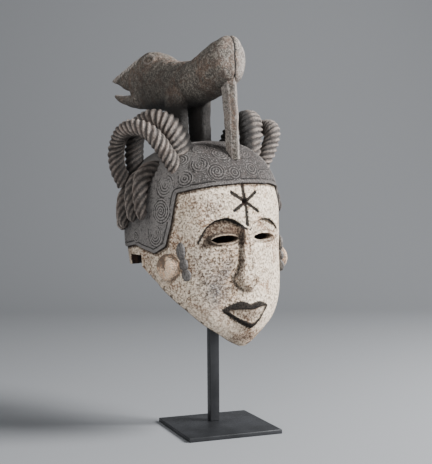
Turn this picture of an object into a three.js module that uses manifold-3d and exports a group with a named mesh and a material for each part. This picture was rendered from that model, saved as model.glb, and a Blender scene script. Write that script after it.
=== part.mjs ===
// A carved wooden helmet mask with a beast on its crest, on a steel post and plate.
// Millimetres, +Z up. The origin is the centre of the plate's underside and the face looks along -Y.
// Heights in the mask are measured from the floor, and the mask leans a little to its right on the post.

import * as THREE from 'three';
import { mergeVertices } from 'three/addons/utils/BufferGeometryUtils.js';
import Module from 'manifold-3d';

const wasm = await Module();
wasm.setup();

// Stand
const PLATE_SIDE = 139;
const PLATE_THICK = 6;
const PLATE_TURN = THREE.MathUtils.degToRad(-14);
const POST_SIDE = 14;
const POST_X = 5.7;
const POST_Y = 21.7;
const POST_TOP = 400.2;
const TOUCH_GAP = 0.3;

// Place of the mask on the stand
const MASK_X = 5.7;
const MASK_Y = -25.3;
const MASK_LEAN = THREE.MathUtils.degToRad(2.4);

// Helmet
const CROWN_HEIGHT = 414.5;
const CROWN_Y = 42;
const DOME_START = 300;
const DOME_POWER = 2.6;
const SECTION_POWER = 2.5;
const HEAD_HALF_WIDTH = 98;
const HEAD_FRONT = 97;
const HEAD_BACK = 141;
const WALL = 12;
const ROOT_STOP = 10;
const JAW_TOP = 222;
const CHIN_HEIGHT = 127;
const INNER_CHIN_HEIGHT = 141;

// Jaw sections from the ear down to the chin: height, half width, centre and front
const JAW = [
  { z: 127, half: 5, centre: -31, front: -36 },
  { z: 133, half: 17, centre: -30, front: -40 },
  { z: 150, half: 41, centre: -27, front: -45 },
  { z: 162, half: 57, centre: -21, front: -48 },
  { z: 183, half: 75, centre: -6, front: -50 },
  { z: 203, half: 88, centre: 15, front: -51 },
  { z: 222, half: 95, centre: 33, front: -52 },
  { z: 245, half: 97, centre: 42, front: -53 },
  { z: 300, half: 98, centre: 42, front: -55 },
];
const REAR_TUCK = 12;

// Rear rim: height against the angle round the head, in degrees from the face
const REAR_RIM = [[90, 222], [97, 240], [115, 243], [180, 236]];

// Hairline: height against the same angle
const HAIRLINE = [
  [0, 355], [25, 353], [45, 349], [60, 345], [66, 301], [73, 272], [86, 262],
  [102, 273], [120, 268], [180, 266],
];
const CAP_RISE = 3;
const CAP_ROOT = 5;

// Face
const BROW_TOP = 307;
const BROW_CENTRE = 35;
const BROW_INNER = 3;
const BROW_OUTER = 67;
const BROW_INNER_DROP = 16;
const BROW_OUTER_DROP = 27;
const HOLLOW_DEPTH = 7;
const HOLLOW_FLOOR_Z = 266;
const EYE_X = 34;
const EYE_Z = 279.5;
const EYE_HALF_LENGTH = 19;
const EYE_HALF_HEIGHT = 4.4;
const LID_RISE = 3;

// Nose from its underside to the brow: height, half width and rise of its flat ridge, half width at the root
const NOSE = [
  { z: 204, half: 8, rise: -4, foot: 9 },
  { z: 209, half: 12, rise: 9, foot: 15 },
  { z: 220, half: 16, rise: 10, foot: 21 },
  { z: 233, half: 12, rise: 8.5, foot: 16 },
  { z: 252, half: 10, rise: 7, foot: 13 },
  { z: 288, half: 7, rise: 3.5, foot: 11 },
  { z: 303, half: 5, rise: -2, foot: 6 },
];
const MOUTH_HALF = 39;
const MOUTH_CORNER_Z = 181;
const MOUTH_TOP_Z = 193;
const MOUTH_DIP_Z = 188;
const MOUTH_BOTTOM_Z = 151;
const LIP_RISE = 7;
const LIP_CORNER_RISE = 2;
const LIP_RECESS = 3;
const MUZZLE_RISE = 4;
const MUZZLE_RADIUS = 42;
const STAR_Z = 327;
const STAR_WIDTH = 5;
const STAR_FLOOR = -52.6;

// Ropes and locks
const ROPE_LOBES = 8;
const LOCK_LOBES = 6;
const RIB_DEPTH = 0.2;
const RIB_PITCH = 10.7;
const LOCK_PITCH = 13;
const OUTER_ROPE_RADIUS = 12;
const INNER_ROPE_ACROSS = 15;
const INNER_ROPE_THICK = 10.5;
const INNER_ROPE_SWELL = 0.24;
const LOCK_RADIUS = 13.5;
const LOCK_TIP = 7;
const LOCKS = [
  { x: 117, y: 40, top: 378, tip: 310 },
  { x: 114, y: 69, top: 368, tip: 307 },
  { x: 112, y: 98, top: 352, tip: 299 },
  { x: 101, y: 121, top: 342, tip: 297 },
];

// Tail prop: half width, and the depths of its front ridge, shoulders and back
const TAIL = [
  { z: 378, half: 6.5, ridge: -41, shoulder: -35, back: -22 },
  { z: 440, half: 7, ridge: -41, shoulder: -35, back: -18 },
  { z: 478, half: 8, ridge: -40, shoulder: -33, back: -13 },
  { z: 508, half: 11, ridge: -38, shoulder: -31, back: -6 },
];

// Beast
const LEG_X = 21;
const LEG_Y = 80;
const LEG_HALF_X = 11;
const LEG_HALF_Y = 23;

// Basic solids

function solid(positions, faces) {
  const mesh = { numProp: 3, vertProperties: new Float32Array(positions.flatMap((p) => [p.x, p.y, p.z])) };
  const make = (list) => new wasm.Manifold(new wasm.Mesh({ ...mesh, triVerts: new Uint32Array(list) }));
  const first = make(faces);
  if (first.volume() > 0) {
    return first;
  }
  const turned = [];
  for (let i = 0; i < faces.length; i += 3) {
    turned.push(faces[i], faces[i + 2], faces[i + 1]);
  }
  return make(turned);
}

function fromGeometry(geometry) {
  geometry.deleteAttribute('normal');
  geometry.deleteAttribute('uv');
  const merged = mergeVertices(geometry, 1e-4);
  const place = merged.getAttribute('position');
  const points = [];
  for (let i = 0; i < place.count; i += 1) {
    points.push(new THREE.Vector3().fromBufferAttribute(place, i));
  }
  return solid(points, Array.from(merged.index.array));
}

function box(width, depth, height, matrix) {
  return fromGeometry(new THREE.BoxGeometry(width, depth, height).applyMatrix4(matrix));
}

function matrixAt(x, y, z, turnX = 0, turnY = 0, turnZ = 0) {
  const turn = new THREE.Matrix4().makeRotationFromEuler(new THREE.Euler(turnX, turnY, turnZ));
  return new THREE.Matrix4().makeTranslation(x, y, z).multiply(turn);
}

function ellipsoid(centre, radii, around, up) {
  const ball = new THREE.SphereGeometry(1, around, up);
  ball.scale(radii.x, radii.y, radii.z);
  ball.translate(centre.x, centre.y, centre.z);
  return fromGeometry(ball);
}

// Rings with the same number of points become a closed body, with a fan at each end.
// A ridge that climbs one point a ring follows the cut of the quads.
function loft(rings) {
  const count = rings[0].length;
  const points = rings.flat();
  const faces = [];
  for (let r = 0; r < rings.length - 1; r += 1) {
    for (let m = 0; m < count; m += 1) {
      const a = r * count + m;
      const b = r * count + ((m + 1) % count);
      const c = a + count;
      const d = b + count;
      faces.push(a, b, d, a, d, c);
    }
  }
  for (const [ring, inward] of [[0, false], [rings.length - 1, true]]) {
    const middle = new THREE.Vector3();
    rings[ring].forEach((p) => middle.addScaledVector(p, 1 / count));
    const hub = points.push(middle) - 1;
    for (let m = 0; m < count; m += 1) {
      const a = ring * count + m;
      const b = ring * count + ((m + 1) % count);
      faces.push(...(inward ? [a, b, hub] : [b, a, hub]));
    }
  }
  return solid(points, faces);
}

function mixTable(table, key, at) {
  if (at <= table[0].z) {
    return table[0][key];
  }
  for (let i = 1; i < table.length; i += 1) {
    if (at <= table[i].z) {
      const t = (at - table[i - 1].z) / (table[i].z - table[i - 1].z);
      return THREE.MathUtils.lerp(table[i - 1][key], table[i][key], t);
    }
  }
  return table[table.length - 1][key];
}

function alongLine(line, at) {
  return mixTable(line.map(([z, value]) => ({ z, value })), 'value', at);
}

// Helmet

// Half width, centre and the depths of one level section of the head
function section(height, inset) {
  if (height > DOME_START) {
    const rise = (height - DOME_START) / (CROWN_HEIGHT - inset - DOME_START);
    const size = Math.pow(Math.max(0, 1 - Math.pow(rise, DOME_POWER)), 1 / DOME_POWER);
    return {
      half: (HEAD_HALF_WIDTH - inset) * size,
      centre: CROWN_Y,
      front: (HEAD_FRONT - inset) * size,
      back: (HEAD_BACK - inset) * size,
    };
  }
  const half = mixTable(JAW, 'half', height);
  const centre = mixTable(JAW, 'centre', height);
  const front = centre - mixTable(JAW, 'front', height);
  const chin = INNER_CHIN_HEIGHT - 2;
  const close = inset > 0 ? Math.min(1, Math.sqrt(Math.max(0, height - chin) / 30)) : 1;
  const shrink = (size) => Math.max(0.5, (size - inset) * close);
  const tuck = REAR_TUCK * Math.pow(Math.min(1, (DOME_START - height) / (DOME_START - JAW_TOP)), 2);
  const back = HEAD_BACK - tuck - inset;
  return { half: shrink(half), centre: centre + (1 - close) * 4, front: shrink(front), back };
}

// A point of the head: the angle runs from the face, positive to the mask's left side
function headPoint(angle, height, inset) {
  const { half, centre, front, back } = section(height, inset);
  const sine = Math.sin(angle);
  const cosine = Math.cos(angle);
  const power = 2 / SECTION_POWER;
  const x = half * Math.sign(sine) * Math.pow(Math.abs(sine), power);
  const reach = (cosine > 0 ? front : back) * Math.pow(Math.abs(cosine), power);
  return new THREE.Vector3(x, centre - Math.sign(cosine) * reach, height);
}

// Depth of the plain face at a place of the front view
function faceY(x, z) {
  const { half, centre, front } = section(z, 0);
  const part = Math.min(0.999, Math.abs(x) / half);
  return centre - front * Math.pow(1 - Math.pow(part, SECTION_POWER), 1 / SECTION_POWER);
}

// The muzzle swells gently round the mouth
function muzzle(x, z) {
  const away = Math.hypot(x, z - 176) / MUZZLE_RADIUS;
  return MUZZLE_RISE * Math.max(0, 1 - away * away);
}

const FACE_X = [0, 11, 22, 33, 44, 55, 66];
const LEVELS_TOP = [408, 390, 368];
const LEVELS_FACE = [350, 328, 306, 285, 264, 243, JAW_TOP];
const LEVELS_JAW = [207, 193, 180, 168, 157, 147, 138, 131];
const INNER_TOP = [399, 389, 368, 338, 300, 260, JAW_TOP];
const INNER_JAW = [200, 180, 163, 150];

// Angles of one section, from the face to its end, closer together on the face when it is carved
function halfAngles(height, inset, fine, last) {
  const { half } = section(height, inset);
  const angles = [0];
  const list = fine ? FACE_X.slice(1) : [18, 40, 60];
  for (const x of list) {
    if (x < half * 0.8) {
      angles.push(Math.asin(Math.pow(x / half, SECTION_POWER / 2)));
    }
  }
  const start = angles[angles.length - 1];
  const sideSteps = fine ? 4 : 3;
  for (let i = 1; i <= sideSteps; i += 1) {
    angles.push(THREE.MathUtils.lerp(start, Math.PI / 2, i / sideSteps));
  }
  const rearSteps = 8;
  if (last > Math.PI / 2) {
    for (let i = 1; i <= rearSteps; i += 1) {
      angles.push(Math.PI / 2 + (Math.PI / 2) * Math.pow(i / rearSteps, 0.8));
    }
  }
  return angles;
}

function rearHeight(height, angle) {
  const degrees = THREE.MathUtils.radToDeg(Math.abs(angle));
  if (degrees <= 90 || height >= DOME_START) {
    return height;
  }
  const rim = alongLine(REAR_RIM, degrees);
  return DOME_START - (DOME_START - height) * (DOME_START - rim) / (DOME_START - JAW_TOP);
}

// Joins two rows of vertices with a strip of triangles
function bridge(rowA, rowB, faces) {
  let i = 0;
  let j = 0;
  while (i < rowA.length - 1 || j < rowB.length - 1) {
    const nextA = i < rowA.length - 1 ? rowA[i + 1].at : Infinity;
    const nextB = j < rowB.length - 1 ? rowB[j + 1].at : Infinity;
    if (nextA <= nextB) {
      faces.push(rowA[i].index, rowA[i + 1].index, rowB[j].index);
      i += 1;
    } else {
      faces.push(rowA[i].index, rowB[j + 1].index, rowB[j].index);
      j += 1;
    }
  }
}

// One skin of the head, outside or inside, with the loop of its lower edge
function skin(points, faces, levels, jawLevels, inset, fine, crown, chin) {
  const rows = [];
  const add = (p) => points.push(p) - 1;
  for (const height of [...levels, ...jawLevels]) {
    const closed = height >= JAW_TOP;
    const half = halfAngles(height, inset, fine && height < 356, closed ? Math.PI : Math.PI / 2);
    const angles = [...half.slice(1).reverse().map((a) => -a), ...half];
    const row = angles.map((angle) => {
      const p = headPoint(angle, rearHeight(height, angle), inset);
      if (fine && Math.abs(angle) < 1.2) {
        p.y -= muzzle(p.x, height);
      }
      return { index: add(p), at: angle };
    });
    if (closed) {
      row[row.length - 1].index = row[0].index;
      points.pop();
    }
    rows.push(row);
  }
  const top = add(crown);
  bridge(rows[0], [{ index: top, at: 0 }], faces);
  for (let r = 0; r < rows.length - 1; r += 1) {
    const front = (row) => row.filter((v) => Math.abs(v.at) <= Math.PI / 2 + 1e-6);
    if (r < levels.length - 1) {
      bridge(rows[r + 1], rows[r], faces);
    } else {
      bridge(front(rows[r + 1]), front(rows[r]), faces);
    }
  }
  const tip = add(chin);
  const lowest = rows[rows.length - 1];
  bridge([{ index: tip, at: 0 }], lowest, faces);
  const jawRows = rows.slice(levels.length - 1);
  const rear = rows[levels.length - 1].filter((v) => v.at > Math.PI / 2 + 1e-6);
  const rearOther = rows[levels.length - 1].filter((v) => v.at < -Math.PI / 2 - 1e-6);
  const left = jawRows.map((row) => row.filter((v) => v.at <= Math.PI / 2 + 1e-6).at(-1)).reverse();
  const right = jawRows.map((row) => row.filter((v) => v.at >= -Math.PI / 2 - 1e-6)[0]);
  const loop = [tip, ...left.map((v) => v.index), ...rear.map((v) => v.index)];
  loop.push(...rearOther.slice(1).map((v) => v.index), ...right.map((v) => v.index), tip);
  return loop;
}

function measured(loop, points) {
  const row = [{ index: loop[0], at: 0 }];
  for (let i = 1; i < loop.length; i += 1) {
    row.push({ index: loop[i], at: row[i - 1].at + points[loop[i]].distanceTo(points[loop[i - 1]]) });
  }
  const length = row[row.length - 1].at;
  row.forEach((v) => {
    v.at /= length;
  });
  return row;
}

function helmetShell() {
  const points = [];
  const outer = [];
  const inner = [];
  const crown = new THREE.Vector3(0, CROWN_Y, CROWN_HEIGHT);
  const innerCrown = new THREE.Vector3(0, CROWN_Y, CROWN_HEIGHT - WALL);
  const chin = new THREE.Vector3(0, -33, CHIN_HEIGHT);
  const innerChin = new THREE.Vector3(0, -18, INNER_CHIN_HEIGHT);
  const outerLevels = [...LEVELS_TOP, ...LEVELS_FACE];
  const outerLoop = skin(points, outer, outerLevels, LEVELS_JAW, 0, true, crown, chin);
  const innerLoop = skin(points, inner, INNER_TOP, INNER_JAW, WALL, false, innerCrown, innerChin);
  const faces = [...outer];
  for (let i = 0; i < inner.length; i += 3) {
    faces.push(inner[i], inner[i + 2], inner[i + 1]);
  }
  bridge(measured(innerLoop, points), measured(outerLoop, points), faces);
  return solid(points, faces);
}

// Coiffure: a raised cap down to the hairline, with a pointed lappet before each ear
function cap() {
  const degrees = [0, 10, 20, 30, 40, 50, 60, 63, 66, 69, 73, 79, 86, 94, 102, 111, 120, 135, 150, 165, 180];
  const half = degrees.map((d) => THREE.MathUtils.degToRad(d));
  const angles = [...half.slice(1).reverse().map((a) => -a), ...half.slice(0, -1)];
  const rows = [0, 0.09, 0.21, 0.37, 0.56, 0.77, 1];
  const point = (angle, part, offset) => {
    const edge = alongLine(HAIRLINE, THREE.MathUtils.radToDeg(Math.abs(angle)));
    const height = THREE.MathUtils.lerp(CROWN_HEIGHT + offset - 0.4, edge, part);
    return headPoint(angle, height, -offset);
  };
  const outside = rows.map((part) => angles.map((angle) => point(angle, part, CAP_RISE)));
  const inside = [1, 0.66, 0.37, 0.15, 0.03].map((part) => angles.map((angle) => point(angle, part, -CAP_ROOT)));
  return loft([...outside, ...inside]);
}

// Twisted ropes

// The frame across a path, from a steady side direction
function across(path, t, side) {
  const tangent = path.getTangentAt(t);
  const first = side.clone().addScaledVector(tangent, -side.dot(tangent)).normalize();
  const second = new THREE.Vector3().crossVectors(tangent, first);
  return { first, second };
}

function twisted(points, side, pitch, lobes, sizeFirst, sizeSecond, taper) {
  const path = new THREE.CatmullRomCurve3(points.map((p) => new THREE.Vector3(...p)), false, 'centripetal');
  const steps = 2 * Math.round(path.getLength() / pitch);
  const rings = [];
  for (let k = 0; k <= steps; k += 1) {
    const t = k / steps;
    const middle = path.getPointAt(t);
    const { first, second } = across(path, t, side);
    const ring = [];
    for (let m = 0; m < lobes; m += 1) {
      const angle = (m / lobes) * Math.PI * 2;
      const size = ((m + k) % 2 === 0 ? 1 : 1 - RIB_DEPTH) * taper(t);
      const p = middle.clone().addScaledVector(first, Math.cos(angle) * sizeFirst * size);
      ring.push(p.addScaledVector(second, Math.sin(angle) * sizeSecond * size));
    }
    rings.push(ring);
  }
  return loft(rings);
}

function arches(side) {
  const sideways = new THREE.Vector3(1, 0, 0);
  const outer = [
    [66, 6, 364], [76, 4, 381], [91, 5, 404], [104, 12, 425], [112, 26, 435], [117, 43, 438],
    [118, 64, 435], [117, 84, 424], [116, 95, 408], [113, 98, 384], [104, 94, 358],
  ];
  const inner = [
    [55, 18, 372], [60, 13, 391], [61, 11, 408], [66, 14, 427], [73, 24, 443], [81, 40, 451],
    [84, 60, 450], [85, 82, 441], [83, 99, 417], [78, 107, 385], [68, 104, 356],
  ];
  const mirrored = (list) => list.map(([x, y, z]) => [side * x, y, z]);
  const swell = (t) => 1 + INNER_ROPE_SWELL * (1 - THREE.MathUtils.smoothstep(t, 0.3, 0.7));
  return [
    twisted(mirrored(outer), sideways, RIB_PITCH, ROPE_LOBES, OUTER_ROPE_RADIUS, OUTER_ROPE_RADIUS, () => 1),
    twisted(mirrored(inner), sideways, RIB_PITCH, ROPE_LOBES, INNER_ROPE_ACROSS, INNER_ROPE_THICK, swell),
  ];
}

function locks(side) {
  const made = [];
  const lengthwise = new THREE.Vector3(0, 1, 0);
  LOCKS.forEach(({ y, x, top, tip }) => {
    const points = [
      [side * (x - 46), y + 6, top + 4], [side * (x - 26), y + 4, top + 2], [side * (x - 10), y + 1, top - 12],
      [side * (x - 1), y - 6, top - 38], [side * (x + 4), y - 16, tip],
    ];
    const swell = (t) => Math.min(1, 0.65 + t) * (1 - (1 - LOCK_TIP / LOCK_RADIUS) * Math.pow(t, 3));
    made.push(twisted(points, lengthwise, LOCK_PITCH, LOCK_LOBES, LOCK_RADIUS, LOCK_RADIUS, swell));
  });
  return made;
}

// Beast on the crest

const BEAST_BODY = [
  { y: -43, top: 545, bottom: 505, half: 6 },
  { y: -38, top: 555, bottom: 498, half: 19 },
  { y: -30, top: 559, bottom: 493, half: 27 },
  { y: -16, top: 556, bottom: 487, half: 31 },
  { y: 6, top: 549, bottom: 480, half: 31 },
  { y: 32, top: 541, bottom: 474, half: 30 },
  { y: 60, top: 536, bottom: 470, half: 30 },
  { y: 90, top: 539, bottom: 469, half: 30 },
  { y: 120, top: 547, bottom: 469, half: 30 },
  { y: 150, top: 560, bottom: 471, half: 29 },
  { y: 172, top: 564, bottom: 473, half: 27 },
  { y: 200, top: 559, bottom: 477, half: 23 },
  { y: 230, top: 550, bottom: 482, half: 18 },
];
const UPPER_JAW = [
  { y: 215, top: 555, bottom: 508, half: 20 },
  { y: 245, top: 547, bottom: 512, half: 16 },
  { y: 270, top: 541, bottom: 522, half: 12 },
  { y: 298, top: 534, bottom: 530, half: 5 },
];
const LOWER_JAW = [
  { y: 215, top: 506, bottom: 479, half: 19 },
  { y: 245, top: 505, bottom: 486, half: 15 },
  { y: 270, top: 506, bottom: 494, half: 11 },
  { y: 291, top: 510, bottom: 503, half: 6 },
];

function barrel(stations, around) {
  return loft(stations.map(({ y, top, bottom, half }) => {
    const ring = [];
    for (let m = 0; m < around; m += 1) {
      const angle = (m / around) * Math.PI * 2;
      const wide = Math.sign(Math.sin(angle)) * Math.pow(Math.abs(Math.sin(angle)), 0.85);
      const tall = Math.cos(angle);
      ring.push(new THREE.Vector3(half * wide, y, (top + bottom) / 2 + ((top - bottom) / 2) * tall));
    }
    return ring;
  }));
}

function leg(side) {
  const stations = [
    { z: 395, x: LEG_X, y: LEG_Y + 2, halfX: LEG_HALF_X, halfY: LEG_HALF_Y },
    { z: 440, x: LEG_X, y: LEG_Y, halfX: LEG_HALF_X, halfY: LEG_HALF_Y },
    { z: 468, x: LEG_X, y: LEG_Y, halfX: LEG_HALF_X, halfY: LEG_HALF_Y + 1 },
    { z: 500, x: LEG_X - 3, y: LEG_Y, halfX: LEG_HALF_X + 2, halfY: LEG_HALF_Y + 10 },
  ];
  return loft(stations.map(({ z, x, y, halfX, halfY }) => {
    const ring = [];
    for (let m = 0; m < 8; m += 1) {
      const angle = ((m + 0.5) / 8) * Math.PI * 2;
      ring.push(new THREE.Vector3(side * x + halfX * Math.cos(angle), y + halfY * Math.sin(angle), z));
    }
    return ring;
  }));
}

// The tail drops from the rump to the forehead as a faceted prop with a ridge in front
function tail() {
  return loft(TAIL.map(({ z, half, ridge, shoulder, back }) => {
    const outline = [[0, ridge], [half, shoulder], [half, back], [-half, back], [-half, shoulder]];
    return outline.map(([x, y]) => new THREE.Vector3(x, y, z));
  }));
}

function serratedRidge() {
  const notches = 13;
  const from = { y: 190, z: 557 };
  const to = { y: 292, z: 533 };
  const shape = new THREE.Shape();
  shape.moveTo(from.y, from.z - 8);
  for (let i = 0; i <= notches; i += 1) {
    const y = THREE.MathUtils.lerp(from.y, to.y, i / notches);
    const z = THREE.MathUtils.lerp(from.z, to.z, i / notches);
    shape.lineTo(y, z + 4);
    shape.lineTo(y + 4, z + 1);
  }
  shape.lineTo(to.y, to.z - 3);
  const ridge = new THREE.ExtrudeGeometry(shape, { depth: 9, bevelEnabled: false, steps: 1 });
  ridge.applyMatrix4(new THREE.Matrix4().makeBasis(
    new THREE.Vector3(0, 1, 0), new THREE.Vector3(0, 0, 1), new THREE.Vector3(1, 0, 0),
  ));
  ridge.translate(-4.5, 0, 0);
  return fromGeometry(ridge);
}

function beast() {
  return [
    barrel(BEAST_BODY, 12), barrel(UPPER_JAW, 10), barrel(LOWER_JAW, 10),
    leg(1), leg(-1), tail(), serratedRidge(),
  ];
}

// Ears, temple marks, eyes, star and rim cut-out

function ear(side) {
  const whole = ellipsoid(new THREE.Vector3(side * 94, -2, 243), new THREE.Vector3(14, 17, 19), 10, 7);
  const hollow = ellipsoid(new THREE.Vector3(side * 108, 4, 247), new THREE.Vector3(8, 11, 13), 8, 5);
  return whole.subtract(hollow);
}

function templeMarks(side) {
  const marks = [];
  const places = [[267, -13, 11], [250, -17, 8], [235, -21, 9]];
  for (const [z, y, tall] of places) {
    const { half, centre, front } = section(z, 0);
    const x = half * Math.pow(1 - Math.pow((centre - y) / front, SECTION_POWER), 1 / SECTION_POWER);
    marks.push(ellipsoid(new THREE.Vector3(side * x, y, z), new THREE.Vector3(4.5, 8, tall), 8, 5));
  }
  return marks;
}

// The hollow under a brow is deepest along the brow line and runs out on the cheek
function browLine(x) {
  const across = x - BROW_CENTRE;
  const reach = across < 0 ? BROW_CENTRE - BROW_INNER : BROW_OUTER - BROW_CENTRE;
  const drop = across < 0 ? BROW_INNER_DROP : BROW_OUTER_DROP;
  return BROW_TOP - drop * Math.pow(Math.abs(across) / reach, 2.1);
}

function eyeHollow(side) {
  const steps = 12;
  const rings = [];
  for (let i = 0; i <= steps; i += 1) {
    const x = THREE.MathUtils.lerp(BROW_INNER, BROW_OUTER, i / steps);
    const high = browLine(x);
    const fade = Math.min(1, 4 * (1 - i / steps), 0.3 + 3 * (i / steps));
    const floor = faceY(x, high) + HOLLOW_DEPTH * fade;
    const root = faceY(x, HOLLOW_FLOOR_Z) - 0.5;
    rings.push([
      new THREE.Vector3(side * x, floor, high), new THREE.Vector3(side * x, root, HOLLOW_FLOOR_Z),
      new THREE.Vector3(side * x, root - 25, HOLLOW_FLOOR_Z), new THREE.Vector3(side * x, floor - 30, high + 2),
    ]);
  }
  return loft(rings);
}

function eyelid(side) {
  const y = faceY(EYE_X, EYE_Z) + 4;
  const radii = new THREE.Vector3(EYE_HALF_LENGTH + 5, 4 + LID_RISE, EYE_HALF_HEIGHT + 5);
  return ellipsoid(new THREE.Vector3(side * EYE_X, y, EYE_Z), radii, 12, 8);
}

function eyeSlit(side) {
  const shape = new THREE.Shape();
  shape.moveTo(-EYE_HALF_LENGTH, 0);
  shape.quadraticCurveTo(0, 2 * EYE_HALF_HEIGHT, EYE_HALF_LENGTH, 0);
  shape.quadraticCurveTo(0, -2 * EYE_HALF_HEIGHT, -EYE_HALF_LENGTH, 0);
  const slit = new THREE.ExtrudeGeometry(shape, { depth: 60, bevelEnabled: false, curveSegments: 5 });
  slit.rotateX(Math.PI / 2);
  slit.translate(side * EYE_X, -20, EYE_Z);
  return fromGeometry(slit);
}

function nose() {
  return loft(NOSE.map(({ z, half, rise, foot }) => {
    const face = faceY(0, z);
    return [
      new THREE.Vector3(foot, face + 8, z), new THREE.Vector3(foot, face + 1.5, z),
      new THREE.Vector3(half, face - rise, z), new THREE.Vector3(-half, face - rise, z),
      new THREE.Vector3(-foot, face + 1.5, z), new THREE.Vector3(-foot, face + 8, z),
    ];
  }));
}

// Outline of the mouth: a diamond with two peaks on the upper lip, drawn in towards its middle
function mouthOutline(shrink, depth) {
  const peak = MOUTH_HALF * 0.36;
  const outline = [
    [MOUTH_HALF, MOUTH_CORNER_Z], [MOUTH_HALF * 0.7, MOUTH_CORNER_Z + 7], [peak, MOUTH_TOP_Z],
    [0, MOUTH_DIP_Z], [-peak, MOUTH_TOP_Z], [-MOUTH_HALF * 0.7, MOUTH_CORNER_Z + 7],
    [-MOUTH_HALF, MOUTH_CORNER_Z], [-MOUTH_HALF * 0.55, MOUTH_BOTTOM_Z + 12], [0, MOUTH_BOTTOM_Z],
    [MOUTH_HALF * 0.55, MOUTH_BOTTOM_Z + 12],
  ];
  const middle = 175;
  return outline.map(([x, z]) => {
    const across = x * shrink;
    const height = middle + (z - middle) * shrink;
    const lift = THREE.MathUtils.lerp(1, LIP_CORNER_RISE / LIP_RISE, Math.abs(across) / MOUTH_HALF);
    const face = faceY(across, height) - muzzle(across, height);
    return new THREE.Vector3(across, face - depth * (depth > 0 ? lift : 1), height);
  });
}

function mouth() {
  return loft([
    mouthOutline(1.02, -6), mouthOutline(1, 1), mouthOutline(0.86, LIP_RISE), mouthOutline(0.72, LIP_RISE),
    mouthOutline(0.6, LIP_RISE - LIP_RECESS),
  ]);
}

function starCuts() {
  const cut = 20;
  const slope = Math.atan2(4.8, 57);
  const upright = box(STAR_WIDTH, cut, 60, matrixAt(0, STAR_FLOOR + 0.8 - cut / 2, 323, slope));
  const diagonal = (turn) => box(STAR_WIDTH, cut, 49, matrixAt(0, STAR_FLOOR + 1.4 - cut / 2, STAR_Z, 0, turn));
  return [upright, diagonal(1), diagonal(-1)];
}

function rimCutOut() {
  return box(60, 44, 60, matrixAt(-95, 92, 228));
}

// What stands on the head ends inside its wall
function hollowSide() {
  const angles = Array.from({ length: 24 }, (_, i) => (i / 24) * Math.PI * 2 - Math.PI);
  const heights = [225, 260, 300, 338, 368, 389, 400];
  return loft(heights.map((height) => angles.map((angle) => headPoint(angle, height, ROOT_STOP))));
}

function helmetMask() {
  let standing = wasm.Manifold.union(beast());
  for (const side of [-1, 1]) {
    standing = wasm.Manifold.union([standing, ...arches(side), ...locks(side), ear(side), ...templeMarks(side)]);
  }
  let work = helmetShell().add(cap()).add(standing.subtract(hollowSide()));
  for (const side of [-1, 1]) {
    work = work.subtract(eyeHollow(side)).add(eyelid(side)).subtract(eyeSlit(side));
  }
  work = work.add(nose()).add(mouth());
  for (const piece of [...starCuts(), rimCutOut()]) {
    work = work.subtract(piece);
  }
  return work;
}

// Scene graph

function geometryOf(body) {
  const mesh = body.getMesh();
  const geometry = new THREE.BufferGeometry();
  geometry.setAttribute('position', new THREE.BufferAttribute(new Float32Array(mesh.vertProperties), 3));
  geometry.setIndex(new THREE.BufferAttribute(new Uint32Array(mesh.triVerts), 1));
  geometry.computeVertexNormals();
  return geometry;
}

const wood = new THREE.MeshStandardMaterial({ color: 0x8d8178, roughness: 0.85, metalness: 0 });
const steel = new THREE.MeshStandardMaterial({ color: 0x2b2b2d, roughness: 0.45, metalness: 0.6 });

const group = new THREE.Group();

const maskPlace = new THREE.Group();
maskPlace.position.set(MASK_X, MASK_Y, 0);
maskPlace.rotation.y = -MASK_LEAN;
const mask = new THREE.Mesh(geometryOf(helmetMask()), wood);
mask.name = 'mask';
maskPlace.add(mask);
group.add(maskPlace);

const stand = new THREE.Group();
stand.rotation.z = PLATE_TURN;
const plate = new THREE.Mesh(new THREE.BoxGeometry(PLATE_SIDE, PLATE_SIDE, PLATE_THICK), steel);
plate.name = 'stand_base';
plate.position.z = PLATE_THICK / 2;
stand.add(plate);
group.add(stand);

const postHeight = POST_TOP - PLATE_THICK - TOUCH_GAP;
const post = new THREE.Mesh(new THREE.BoxGeometry(POST_SIDE, POST_SIDE, postHeight), steel);
post.name = 'stand_post';
post.position.set(POST_X, POST_Y, PLATE_THICK + TOUCH_GAP + postHeight / 2);
post.rotation.z = PLATE_TURN;
group.add(post);

export default group;
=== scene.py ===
"""A carved helmet mask on its stand, modelled over its plain solids.

The head, rope hair, locks, ears, crest beast and stand are each made by one operator.
Lengths inside the mask are its own millimetres, before it leans on the post.
"""

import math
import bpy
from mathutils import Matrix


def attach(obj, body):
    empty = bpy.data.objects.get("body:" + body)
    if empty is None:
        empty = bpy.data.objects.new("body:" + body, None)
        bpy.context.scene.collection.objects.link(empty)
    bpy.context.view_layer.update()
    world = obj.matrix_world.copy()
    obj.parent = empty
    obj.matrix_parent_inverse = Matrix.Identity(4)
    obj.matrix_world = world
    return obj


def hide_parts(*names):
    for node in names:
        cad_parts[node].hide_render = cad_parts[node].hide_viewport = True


bl_info = {
    "name": "Carved Helmet Mask",
    "version": (1, 0, 0),
    "blender": (4, 5, 0),
    "location": "3D View > Sidebar > Helmet Mask",
    "description": "Models the carving, paint and stand of a helmet mask over its plain solids",
    "category": "Object",
}

import bpy
import numpy as np
from mathutils import Matrix, Vector
from mathutils.kdtree import KDTree

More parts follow.
